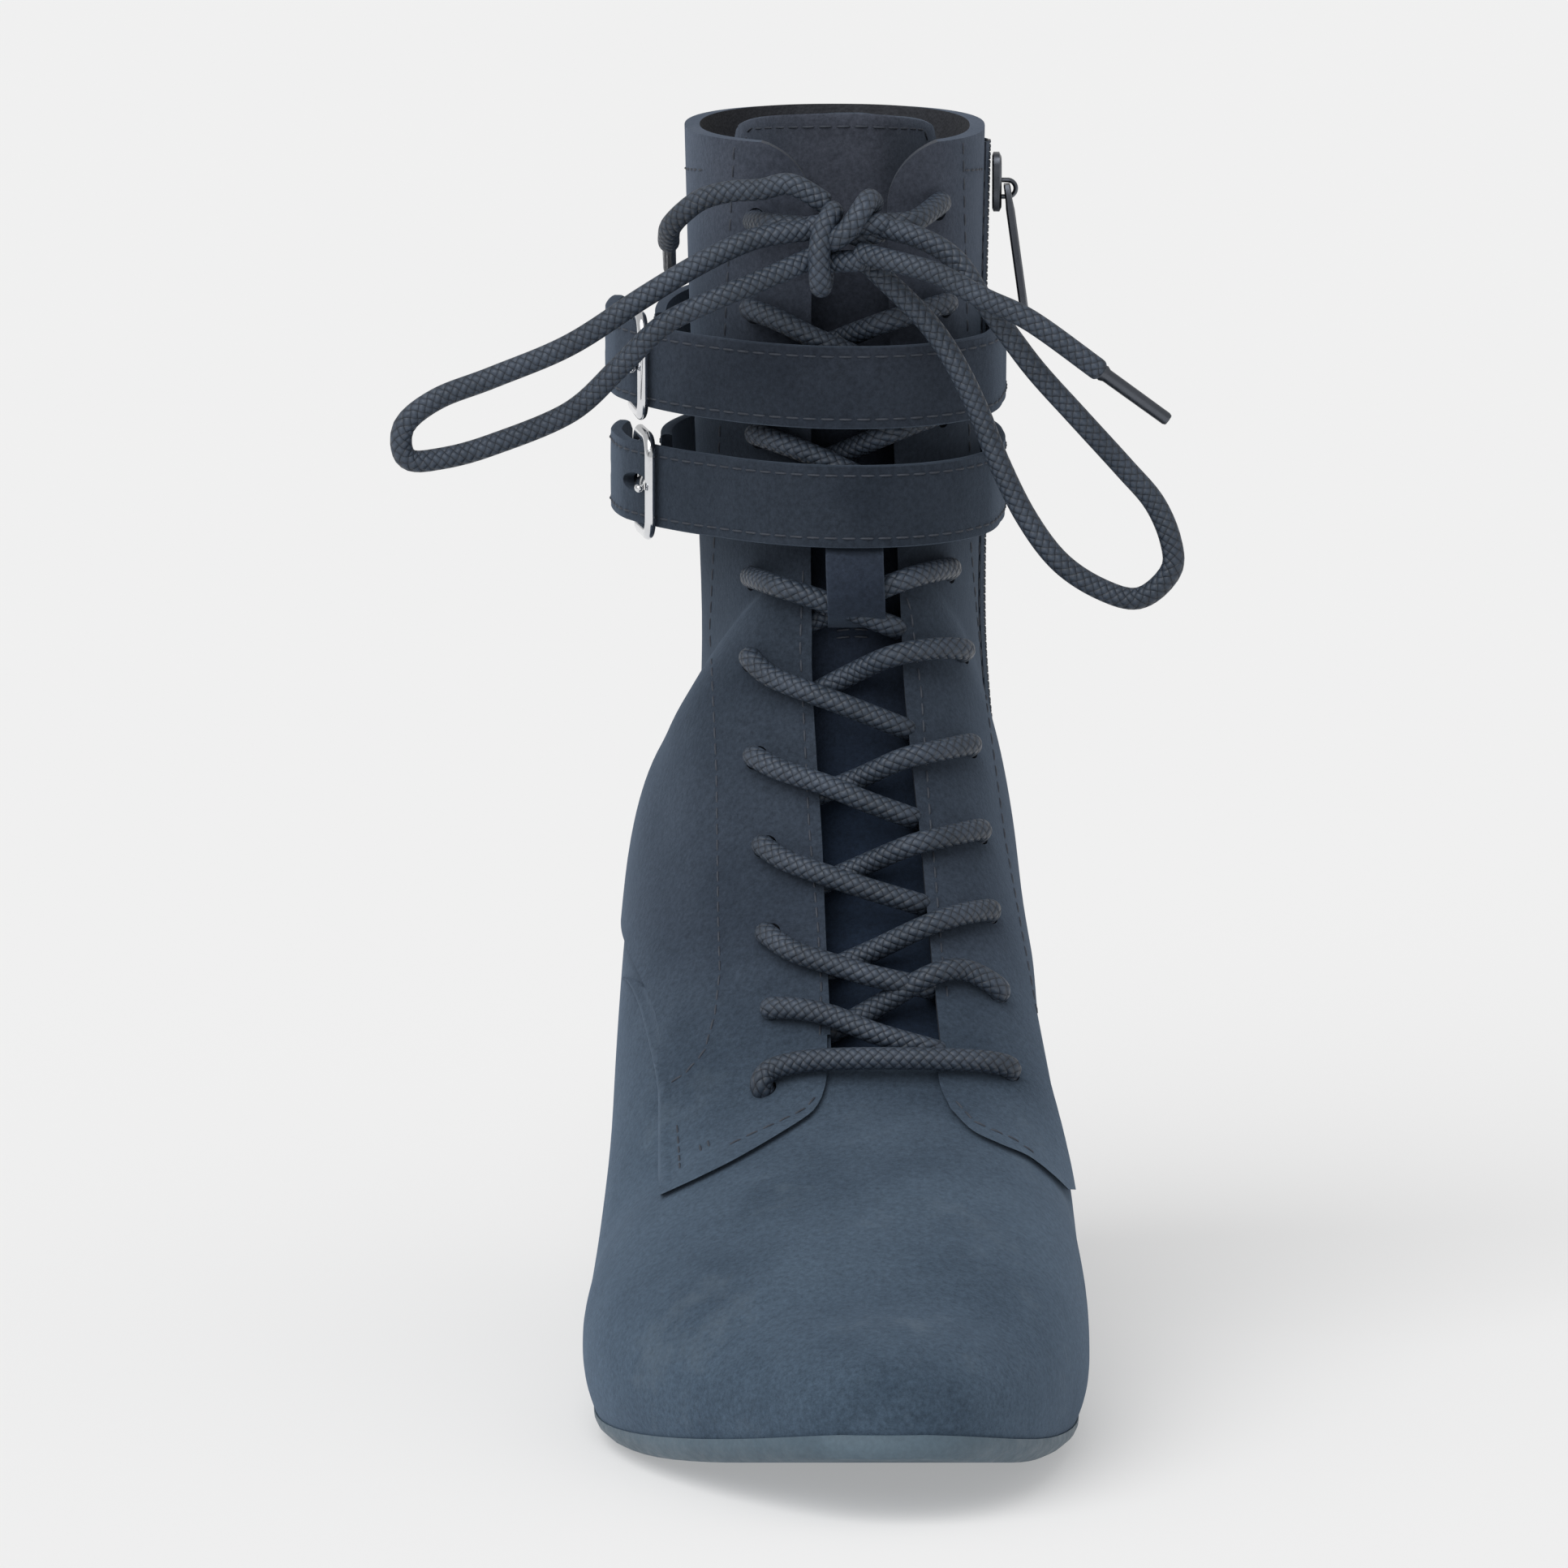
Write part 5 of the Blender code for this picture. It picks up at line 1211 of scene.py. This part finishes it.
def lace_route(row, side, pixels):
    """One lace: up its eyelet, over the facing, across, and under the far facing."""
    over = side < 0
    middle = (0.36 if row == KEEPER_ROW else 0.58) * LACE if over else -0.52 * LACE
    edge = ON_TOP - (0.3 * MM if over else 0.6 * MM)
    lifts = (ON_TOP - 0.9 * MM, ON_TOP, edge, middle, 0.3 * MM if over else -0.7 * LACE)
    (ax, ay), (bx, by) = pixels[-2:]
    beyond = [((bx + (bx - ax) * t, by + (by - ay) * t), -WALL - LACE / 2) for t in (0.22, 0.5)]
    return through_eyelet(row, side) + [over_skin(*place) for place in list(zip(pixels, lifts)) + beyond]


def make_laces(looks):
    bar = through_eyelet(0, -1)
    bar += [over_skin(pixel, ON_TOP + rise * MM) for pixel, rise in zip(
        LACE_BAR, (-1.2, -0.1, 0.0, 0.2, 0.4, 0.2, 0.0, -1.0))]
    bar += list(reversed(through_eyelet(0, 1)))
    routes = [smooth_points(bar, 70)]
    for number, pixels in enumerate(LACES):
        routes.append(smooth_points(lace_route(1 + number // 2, 1 if number % 2 else -1, pixels), 60))
    top = len(EYELET_ROWS) - 1
    for side, first, ways in ((-1, (929, 273), ((-13, 4, 1.0), (-6, 2.5, 0.5), (-1, 2, 0))),
                              (1, (1158, 250), ((12, 4, 1.6), (6, 2.5, 1.2), (1, 2, 0)))):
        start = through_eyelet(top, side) + [over_skin(first, ON_TOP - 0.9 * MM)]
        start += [knot_middle() + Vector(way) * MM for way in ways]
        routes.append(smooth_points(start, 50))
    names = ["lace_%02d" % i for i in range(19)]
    show_as(cord_piece("lacing", routes, looks["lace"]), *names, slot="waxed_lace")


def make_knot(looks):
    middle = knot_middle()
    wraps = [
        [(-3.5, 3.5, 3.5), (-2.6, -1.5, 3.6), (-4.2, -4.2, 1.2), (-5.0, -5.0, -3.2), (-4.9, -4.2, -7.6),
         (-4.7, -2.2, -9.6), (-4.4, 1.0, -9.0), (-4.0, 3.0, -6.0)],
        [(5.0, 3.0, 4.6), (4.0, -1.0, 6.0), (2.6, -4.0, 4.4), (0.4, -5.2, 1.2), (-2.0, -4.6, -0.8),
         (-3.6, -2.6, -1.6)],
        [(-7.5, -1.0, 1.0), (-3.0, -1.8, 1.4), (2.5, -1.5, -0.5), (7.0, -1.5, 0.5)],
        [(-7.0, -2.0, -5.8), (-3.0, -1.8, -5.2), (0.0, -3.2, -4.9), (3.5, -5.0, -4.6)],
        [(8.0, -2.6, 1.8), (4.0, -2.6, 1.6), (0.0, -1.2, 0.6)]]
    routes = [smooth_points([middle + Vector(p) * MM for p in wrap], 40) for wrap in wraps]
    knot = cord_piece("knot_of_bow", routes, looks["lace"])
    show_as(knot, "bow_knot", slot="waxed_lace")
    return knot


def bow_route(route, count, both=False):
    middle = knot_middle()
    places = [middle + Vector(p) * MM for p in route]
    places[0] = middle + at_knot(route[0]) * 0.8
    if both:
        places[-1] = middle + at_knot(route[-1]) * 0.8
    return smooth_points(places, count)


def free_cord(name, node, route, look):
    cord = cord_piece(name, [route], look)
    show_as(cord, node, slot="waxed_lace")


def make_aglet(name, node, route, looks):
    middle = knot_middle()
    end = middle + Vector(route[-1]) * MM
    run = (Vector(route[-1]) - Vector(route[-2])).normalized()
    start = end - run * 0.6 * MM
    side = run.cross(Vector((0, 0, 1))).normalized()
    up = run.cross(side)
    rings = []
    for along, share in ((0, 1.18), (0.5 * MM, 1.24), (1.2 * MM, 1.0), (AGLET_LENGTH, 0.96),
                         (AGLET_LENGTH + 0.5 * MM, 0.8)):
        rings.append([start + run * along + (side * math.cos(a) + up * math.sin(a)) * AGLET / 2 * share
                      for a in [2 * math.pi * k / 24 for k in range(24)]])
    made = finished(name, skin_of_rings(rings), looks["aglet"], 40)
    return show_as(made, node, slot="zip_gunmetal")


def make_bow(looks):
    make_knot(looks)
    left_tip = make_aglet("lace_tip_left", "aglet_left", LEFT_END, looks)
    right_tip = make_aglet("lace_tip_right", "aglet_right", RIGHT_END, looks)
    free_cord("left_loop", "bow_loop_left", bow_route(LEFT_LOOP, 120, True), looks["lace"])
    free_cord("right_loop", "bow_loop_right", bow_route(RIGHT_LOOP, 120, True), looks["lace"])
    free_cord("left_end", "lace_end_left", bow_route(LEFT_END, 60), looks["lace"])
    free_cord("right_end", "lace_end_right", bow_route(RIGHT_END, 60), looks["lace"])


def make_straps(looks):
    half = STRAP_THICKNESS / 2
    edge = [(-1, -0.45), (-0.965, -1), (0.965, -1), (1, -0.45), (1, 0.45), (0.965, 1), (0.5, 1.06),
            (0, 1.08), (-0.5, 1.06), (-0.965, 1), (-1, 0.45)]
    first, last = STRAP_STANDS[0][0], STRAP_STANDS[-1][0]
    turns = [first + (last - first) * i / 150 for i in range(151)]
    for name, z, tilt in STRAPS:
        rings, rows = [], [[], []]
        for turn in turns:
            near = min((turn - first) / 0.035, 1)
            narrow = 0.72 + 0.28 * math.sqrt(max(1 - (1 - near) ** 2, 0))
            rings.append([strap_point(turn, z, tilt, side * narrow, lift * half) for side, lift in edge])
            out = (strap_point(turn, z, tilt, 0, half) - strap_point(turn, z, tilt)).normalized()
            if near >= 1:
                for row, side in zip(rows, (-0.76, 0.76)):
                    row.append((strap_point(turn, z, tilt, side, half * 1.05), out))
        strap = finished(name + "_strap_leather", skin_of_rings(rings), looks["strap"], 60)
        holes = bmesh.new()
        for turn, longer in ((PRONG_HOLE, 2.8), (-0.525, 1), (-0.575, 1)):
            centre = strap_point(turn, z, tilt)
            out = (strap_point(turn, z, tilt, 0, half) - centre).normalized()
            along = Vector((0, 0, 1)).cross(out)
            turned = Matrix((along, Vector((0, 0, 1)), out)).transposed().to_4x4()
            bmesh.ops.create_cone(holes, cap_ends=True, segments=20, radius1=STRAP_HOLE,
                                  radius2=STRAP_HOLE, depth=3 * STRAP_THICKNESS,
                                  matrix=Matrix.Translation(centre) @ turned
                                  @ Matrix.Diagonal((longer, 1, 1, 1)))
        combine(strap, finished("holes", holes, looks["cut"]), "DIFFERENCE")
        strap.data.shade_smooth()
        strap.data.set_sharp_from_angle(angle=math.radians(50))
        show_as(strap, name + "_strap", slot="suede")
        show_as(stitch_rows(name + "_strap_stitches", rows, looks["thread"]), slot="suede")
        make_buckle(name, z, tilt, looks)


def buckle_bars(middle_z, tilt):
    shift = STRAP_THICKNESS / 2 + GAP + BUCKLE_BAR / 2
    front = strap_point(BUCKLE_FRONT, middle_z, tilt, 0, shift)
    rear = strap_point(BUCKLE_REAR, middle_z, tilt, 0, -shift)
    return front, rear


def make_buckle(name, middle_z, tilt, looks):
    front, rear = buckle_bars(middle_z, tilt)
    half, corner = (BUCKLE_HEIGHT - BUCKLE_BAR) / 2, 3.2 * MM
    along, up = (rear - front).normalized(), Vector((0, 0, 1))
    reach = (rear - front).length
    outline = []
    for centre_along, centre_up, first in ((reach - corner, half - corner, 0),
                                           (corner, half - corner, 90), (corner, corner - half, 180),
                                           (reach - corner, corner - half, 270)):
        for k in range(9):
            a = math.radians(first + k * 90 / 8)
            outline.append(front + along * (centre_along + corner * math.cos(a))
                           + up * (centre_up + corner * math.sin(a)))
    out = along.cross(up).normalized()
    rings, count = [], len(outline)
    for i, point in enumerate(outline):
        run = (outline[(i + 1) % count] - outline[i - 1]).normalized()
        side = run.cross(out).normalized()
        rings.append([point + (side * math.cos(a) * 1.05 + out * math.sin(a) * 0.85) * BUCKLE_BAR / 2
                      for a in [2 * math.pi * k / 20 for k in range(20)]])
    rings.append(rings[0])
    show_as(finished(name + "_buckle_frame", skin_of_rings(rings, caps=False), looks["chrome"]),
            name + "_buckle", slot="buckle_chrome")
    lift = (strap_point(BUCKLE_FRONT, middle_z, tilt, 0, 1 * MM)
            - strap_point(BUCKLE_FRONT, middle_z, tilt)).normalized()
    reach = BUCKLE_BAR / 2 + GAP + PRONG / 2
    tip = front + lift * reach - along * 1.2 * MM
    root = rear - along * (reach + 0.1 * MM) - lift * 0.4 * MM
    hole = strap_point(PRONG_HOLE, middle_z, tilt)
    route = smooth_points([root, hole, front + lift * reach + along * 1.0 * MM, tip], 26)
    rings = []
    for i, point in enumerate(route):
        run = (route[min(i + 1, 25)] - route[max(i - 1, 0)]).normalized()
        side = run.cross(up).normalized()
        share = 0.55 if i in (0, 25) else 1.0
        rings.append([point + (side * math.cos(a) + up * math.sin(a)) * PRONG / 2 * share
                      for a in [2 * math.pi * k / 16 for k in range(16)]])
    show_as(finished(name + "_prong_pin", skin_of_rings(rings), looks["chrome"]),
            name + "_buckle_prong", slot="buckle_chrome")


SOLE_UNDERCUT = 3.6 * MM      # how far the sole's lower edge draws in at the sides


def make_sole(looks):
    levels = []
    for low, high in zip(SOLE_LEVELS, SOLE_LEVELS[1:]):
        levels += [low + (high - low) * i / 3 for i in range(3)]
    levels.append(SOLE_LEVELS[-1])
    plate("outsole_rubber", levels, -SOLE_LEDGE, 0.6 * MM, SOLE_THICKNESS + 0.6 * MM, looks["sole"],
          "outsole", "sole_rubber", SOLE_UNDERCUT)
    plate("insole_sock", levels, WALL + INSOLE_CLEARANCE, INSOLE_THICKNESS, INSOLE_THICKNESS,
          looks["insole"], "insole", "insole_board")


def plate(name, levels, inset, top_gap, thickness, look, node, slot, undercut=0.0):
    lateral = [upper_point(u, -1) for u in levels]
    medial = [upper_point(u, 1) for u in levels]
    outline = lateral + medial[:0:-1]
    count = len(outline)
    ring = []
    for i, point in enumerate(outline):
        before, after = outline[i - 1], outline[(i + 1) % count]
        run = Vector((after.x - before.x, after.y - before.y, 0)).normalized()
        ring.append((point, Vector((-run.y, run.x, 0))))
    half = len(levels)
    rings = []
    for left, right in zip(ring[:half], [ring[0]] + ring[:half - 1:-1]):
        strip = []
        for (point, out), drop, more in (
                (left, 0.25, 0.5), (left, 0, 0.9), (right, 0, 0.9), (right, 0.25, 0.5), (right, 0.5, 0.1),
                (right, 0.85, 0.1), (right, 1.0, 1.0), (left, 1.0, 1.0), (left, 0.85, 0.1), (left, 0.5, 0.1)):
            placed = point - out * (inset + more * 0.45 * MM + undercut * out.x ** 2 * drop ** 2)
            along = (HEEL_OVERHANG - placed.y) / BOOT_LENGTH
            strip.append(Vector((placed.x, placed.y,
                                 seat_height(min(along, 1)) + top_gap - drop * thickness)))
        rings.append(strip)
    show_as(finished(name, skin_of_rings(rings), look, 40), node, slot=slot)


def under_sole(y):
    along = (HEEL_OVERHANG - y) / BOOT_LENGTH
    return seat_height(min(max(along, 0), 1)) - SOLE_THICKNESS


def heel_ring(share, count=30):
    seat_back, seat_front = HEEL_OVERHANG - HEEL_SEAT_INSET, y_at(HEEL_BREAST)
    tip = HEEL_TIP_LENGTH / 2
    ease = 1 - (1 - share) ** 2.2
    back = seat_back + (tip - seat_back) * ease
    front = seat_front + (-tip - seat_front) * ease
    half = (HEEL_SEAT_WIDTH + (HEEL_TIP_WIDTH - HEEL_SEAT_WIDTH) * ease) / 2
    centre = -0.02 * BALL_WIDTH * (1 - ease)
    rear_depth = min(half, (back - front) * 0.55)
    points = [(centre + half * math.cos(math.pi * i / count),
               back - rear_depth + rear_depth * math.sin(math.pi * i / count)) for i in range(count + 1)]
    hollow = HEEL_HOLLOW * (1 - ease)
    for i in range(9):
        x = centre - half + 2 * half * i / 8
        points.append((x * 0.97 + centre * 0.03, front + hollow * math.sin(math.pi * i / 8)))
    floor = TOP_PIECE + GAP
    return [Vector((x, y, under_sole(y) - GAP + (floor - under_sole(y) + GAP) * share))
            for x, y in points]


def make_heel(looks):
    heel = finished("heel_block", skin_of_rings([heel_ring(i / 24) for i in range(25)]), looks["suede"], 35)
    show_as(heel, "heel", slot="suede")
    outline = heel_ring(1)
    centre = sum(outline, Vector()) / len(outline)
    rings = []
    for z, share in ((TOP_PIECE, 0.985), (TOP_PIECE - 0.3 * MM, 1.0), (0.5 * MM, 1.0), (0, 0.975)):
        rings.append([Vector((centre.x + (p.x - centre.x) * share, centre.y + (p.y - centre.y) * share, z))
                      for p in outline])
    show_as(finished("heel_lift", skin_of_rings(rings), looks["rubber"], 35), "heel_top_piece",
            slot="sole_rubber")


def block(bm, middle, along, across, out, size):
    """A small bevelled block; size is along, across and out."""
    rings = []
    for t, share in ((-0.5, 0.6), (-0.36, 1.0), (0.36, 1.0), (0.5, 0.6)):
        rings.append([middle + along * t * size[0] + across * a * size[1] * share + out * o * size[2]
                      for a, o in ((-0.5, -0.5), (0.5, -0.5), (0.5, 0.3), (0.3, 0.5), (-0.3, 0.5),
                                   (-0.5, 0.3))])
    rows = [[bm.verts.new(p) for p in ring] for ring in rings]
    for low, high in zip(rows, rows[1:]):
        for i in range(6):
            bm.faces.new((low[i], low[(i + 1) % 6], high[(i + 1) % 6], high[i]))
    bm.faces.new(rows[0])
    bm.faces.new(rows[-1])


def make_zip(looks):
    low = OVERLAY + ZIP_LIFT
    top = COLLAR_Z - 3 * MM
    rings, teeth = [], bmesh.new()
    for i in range(60):
        z = ZIP_BOTTOM + (top - ZIP_BOTTOM) * i / 59
        rings.append([skin_at_side(ZIP_Y + side * ZIP_WIDTH / 2, z, lift) for side, lift in (
            (-1, low), (1, low), (1, low + 0.3 * MM), (-1, low + 0.3 * MM))])
    tape = finished("zip_tape", skin_of_rings(rings), looks["tape"], 40)
    show_as(tape, slot="zip_tape")
    count = int((top - ZIP_BOTTOM) / (0.75 * MM))
    for i in range(count):
        z = ZIP_BOTTOM + 0.5 * MM + i * 0.75 * MM
        side = 1 if i % 2 else -1
        middle = skin_at_side(ZIP_Y + side * 0.55 * MM, z, low + 0.5 * MM)
        block(teeth, middle, Vector((0, side, 0)), Vector((0, 0, 1)), Vector((1, 0, 0)),
              (2.6 * MM, 0.62 * MM, 0.6 * MM))
    show_as(finished("zip_coil", teeth, looks["gunmetal"], 30), "zip_teeth", slot="zip_gunmetal")
    welts = []
    for side in (-1, 1):
        rings = []
        for i in range(60):
            z = ZIP_BOTTOM - 2 * MM + (top + 2 * MM - ZIP_BOTTOM) * i / 59
            near, far = ZIP_Y + side * 2.2 * MM, ZIP_Y + side * 4.4 * MM
            rings.append([skin_at_side(y, z, lift) for y, lift in (
                (near, OVERLAY + 0.1 * MM), (far, OVERLAY - 0.2 * MM), (far, OVERLAY + 0.35 * MM),
                (near, OVERLAY + 0.95 * MM))])
        welts.append(finished("zip_welt_%s" % ("front" if side < 0 else "rear"),
                              skin_of_rings(rings), looks["strap"], 60))
    for welt in welts:
        show_as(welt, slot="suede")


def slider_face():
    z = COLLAR_Z - SLIDER_DROP
    lift = OVERLAY + ZIP_LIFT + ZIP_THICKNESS + GAP
    places = [skin_at_side(ZIP_Y, z + dz, lift) for dz in (-SLIDER_HEIGHT / 2, 0, SLIDER_HEIGHT / 2)]
    return Vector((max(p.x for p in places), ZIP_Y, z))


def make_slider(looks):
    face = slider_face()
    rings = []
    for x, share in ((0, 0.9), (0.25 * MM, 1.0), (SLIDER_THICKNESS - 0.4 * MM, 1.0),
                     (SLIDER_THICKNESS, 0.86)):
        ring = []
        for k in range(32):
            a = 2 * math.pi * k / 32
            wide = 4 * MM * (0.82 + 0.18 * math.sin(a)) * share
            reach = (abs(math.cos(a)) ** 3.5 + abs(math.sin(a)) ** 3.5) ** (-1 / 3.5)
            ring.append(face + Vector((x, wide * math.cos(a) * reach,
                                       SLIDER_HEIGHT / 2 * share * math.sin(a) * reach)))
        rings.append(ring)
    slider = finished("slider_body", skin_of_rings(rings), looks["gunmetal"], 40)
    axis = slider_axis(face)
    rings = []
    for i in range(25):
        a = math.pi * (i / 24 - 0.5)
        reach = Vector((math.cos(a), 0, math.sin(a)))
        foot = Vector((-1.6 * MM, 0, 0)) if i in (0, 24) else Vector((0, 0, 0))
        turns = [math.pi * k / 6 for k in range(12)]
        rings.append([axis + foot + reach * (ARCH_INNER + ARCH_BAR / 2 * (1 + math.cos(b)))
                      + Vector((0, 0.9 * MM * math.sin(b), 0)) for b in turns])
    arch = finished("slider_bridge", skin_of_rings(rings), looks["gunmetal"], 60)
    combine(slider, arch, "UNION")
    slider.data.shade_smooth()
    slider.data.set_sharp_from_angle(angle=math.radians(45))
    show_as(slider, "zip_slider", slot="zip_gunmetal")
    make_pull(axis, looks)


def slider_axis(face):
    return face + Vector((SLIDER_THICKNESS + PULL_THICKNESS / 2 + GAP, 0, -1.2 * MM))


def make_pull(axis, looks):
    half, thick, length = PULL_WIDTH / 2, PULL_THICKNESS / 2, PULL_LENGTH
    outline = [(-0.8 * MM, 0.72, 0.7), (-0.3 * MM, 0.80, 0.8), (2 * MM, 1.0, 0.8), (4 * MM, 0.98, 1.0),
               (length * 0.55, 0.86, 1.0), (length * 0.86, 1.0, 1.0), (length - 1 * MM, 0.92, 1.0),
               (length, 0.6, 0.8)]
    rings = []
    for down, wide, slim in outline:
        rings.append([Vector((x * thick * slim, y * half * wide, -down)) for x, y in (
            (-1, -0.8), (-1, 0.8), (-0.6, 1), (0.6, 1), (1, 0.8), (1, -0.8), (0.6, -1), (-0.6, -1))])
    pull = finished("pull_tab", skin_of_rings(rings), looks["gunmetal"], 30)
    near, far, wide = 0.8 * MM, ARCH_INNER + ARCH_BAR + 0.5 * MM, PULL_WINDOW / 2
    hole = skin_of_rings([[Vector((x, y, z)) for y, z in (
        (-wide, -far), (wide, -far), (wide, -near), (-wide, -near))] for x in (-5 * MM, 5 * MM)])
    combine(pull, finished("window", hole, looks["gunmetal"]), "DIFFERENCE")
    turn = Matrix.Translation(axis) @ Matrix.Rotation(math.radians(-PULL_TILT), 4, "Y")
    pull.data.transform(turn)
    pull.data.shade_smooth()
    pull.data.set_sharp_from_angle(angle=math.radians(30))
    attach(pull, "zip_pull")
    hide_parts("zip_pull")


# Floor and light
FLOOR = 30
WORLD_LIGHT = 0.52
FRONT_LIGHT = 2.0
FRONT_SPREAD = 60             # degrees, for a soft edge
FRONT_TURN = (42, 0, -34)     # from above the camera's left


def make_studio(looks):
    bm = bmesh.new()
    bmesh.ops.create_grid(bm, x_segments=1, y_segments=1, size=FLOOR)
    bmesh.ops.translate(bm, verts=bm.verts, vec=(0, 0, -0.0002))
    floor = finished("floor", bm, looks["floor"])
    world = bpy.data.worlds.new("studio")
    world.use_nodes = True
    world.node_tree.nodes["Background"].inputs["Color"].default_value = (1, 1, 1, 1)
    world.node_tree.nodes["Background"].inputs["Strength"].default_value = WORLD_LIGHT
    bpy.context.scene.world = world
    data = bpy.data.lights.new("front_light", "SUN")
    data.energy = FRONT_LIGHT
    data.angle = math.radians(FRONT_SPREAD)
    light = bpy.data.objects.new("front_light", data)
    light.rotation_euler = [math.radians(t) for t in FRONT_TURN]
    bpy.context.scene.collection.objects.link(light)
    bpy.context.scene.view_settings.view_transform = "Standard"


# Colour of the suede by height, as shares of the shoe's, and how much of each a piece has: the slate suede
# with painted light on the vamp and the collar's top and painted shade up the shaft
SHADE_TOP = 220 * MM
SUEDE_PAINTED_LIGHT_AND_SHADE = [(0.0, (0.045, 0.070, 0.102)), (0.20, (0.043, 0.064, 0.091)), (0.36, (0.027, 0.036, 0.052)),
          (0.60, (0.024, 0.032, 0.045)), (0.80, (0.023, 0.029, 0.041)), (0.90, (0.038, 0.044, 0.060)),
          (1.0, (0.043, 0.048, 0.064))]
# The tongue's painted shade: darkest low in the throat, with painted light at its top above the collar.
TONGUE_PAINTED_SHADE = [(0.0, (0.008, 0.015, 0.030)), (0.45, (0.009, 0.016, 0.031)), (0.75, (0.024, 0.030, 0.044)),
                 (1.0, (0.046, 0.051, 0.067))]


def make_looks():
    looks = {
        # The suede, the tongue and the straps carry light and shade painted into their colour by height.
        "suede": suede("suede_slate", SUEDE_PAINTED_LIGHT_AND_SHADE), "tongue": suede("suede_tongue", TONGUE_PAINTED_SHADE),
        "strap": suede("suede_strap", [(at, [0.85 * c for c in shade]) for at, shade in SUEDE_PAINTED_LIGHT_AND_SHADE]),
        "lining": lining_look(), "thread": thread_look(),
        "lace": lace_look(), "chrome": metal_look("chrome", (0.78, 0.79, 0.81), 0.12),
        "gunmetal": metal_look("gunmetal", (0.11, 0.12, 0.14), 0.32), "sole": sole_look(),
        "insole": insole_look(), "tape": tape_look(), "floor": floor_look()}
    looks["aglet"] = looks["gunmetal"]
    looks["rubber"] = looks["sole"]
    cut = looks["thread"].copy()
    cut.name = "cut_edge"
    looks["cut"] = cut
    return looks


def main():
    make_camera()
    looks = make_looks()
    make_bow(looks)
    make_laces(looks)
    upper = make_upper(looks)
    make_lips(upper, looks)
    make_seams(upper, looks)
    make_back_strip(looks)
    make_tongue(looks)
    make_keeper(looks)
    make_straps(looks)
    make_sole(looks)
    make_heel(looks)
    make_zip(looks)
    make_slider(looks)
    make_studio(looks)


main()
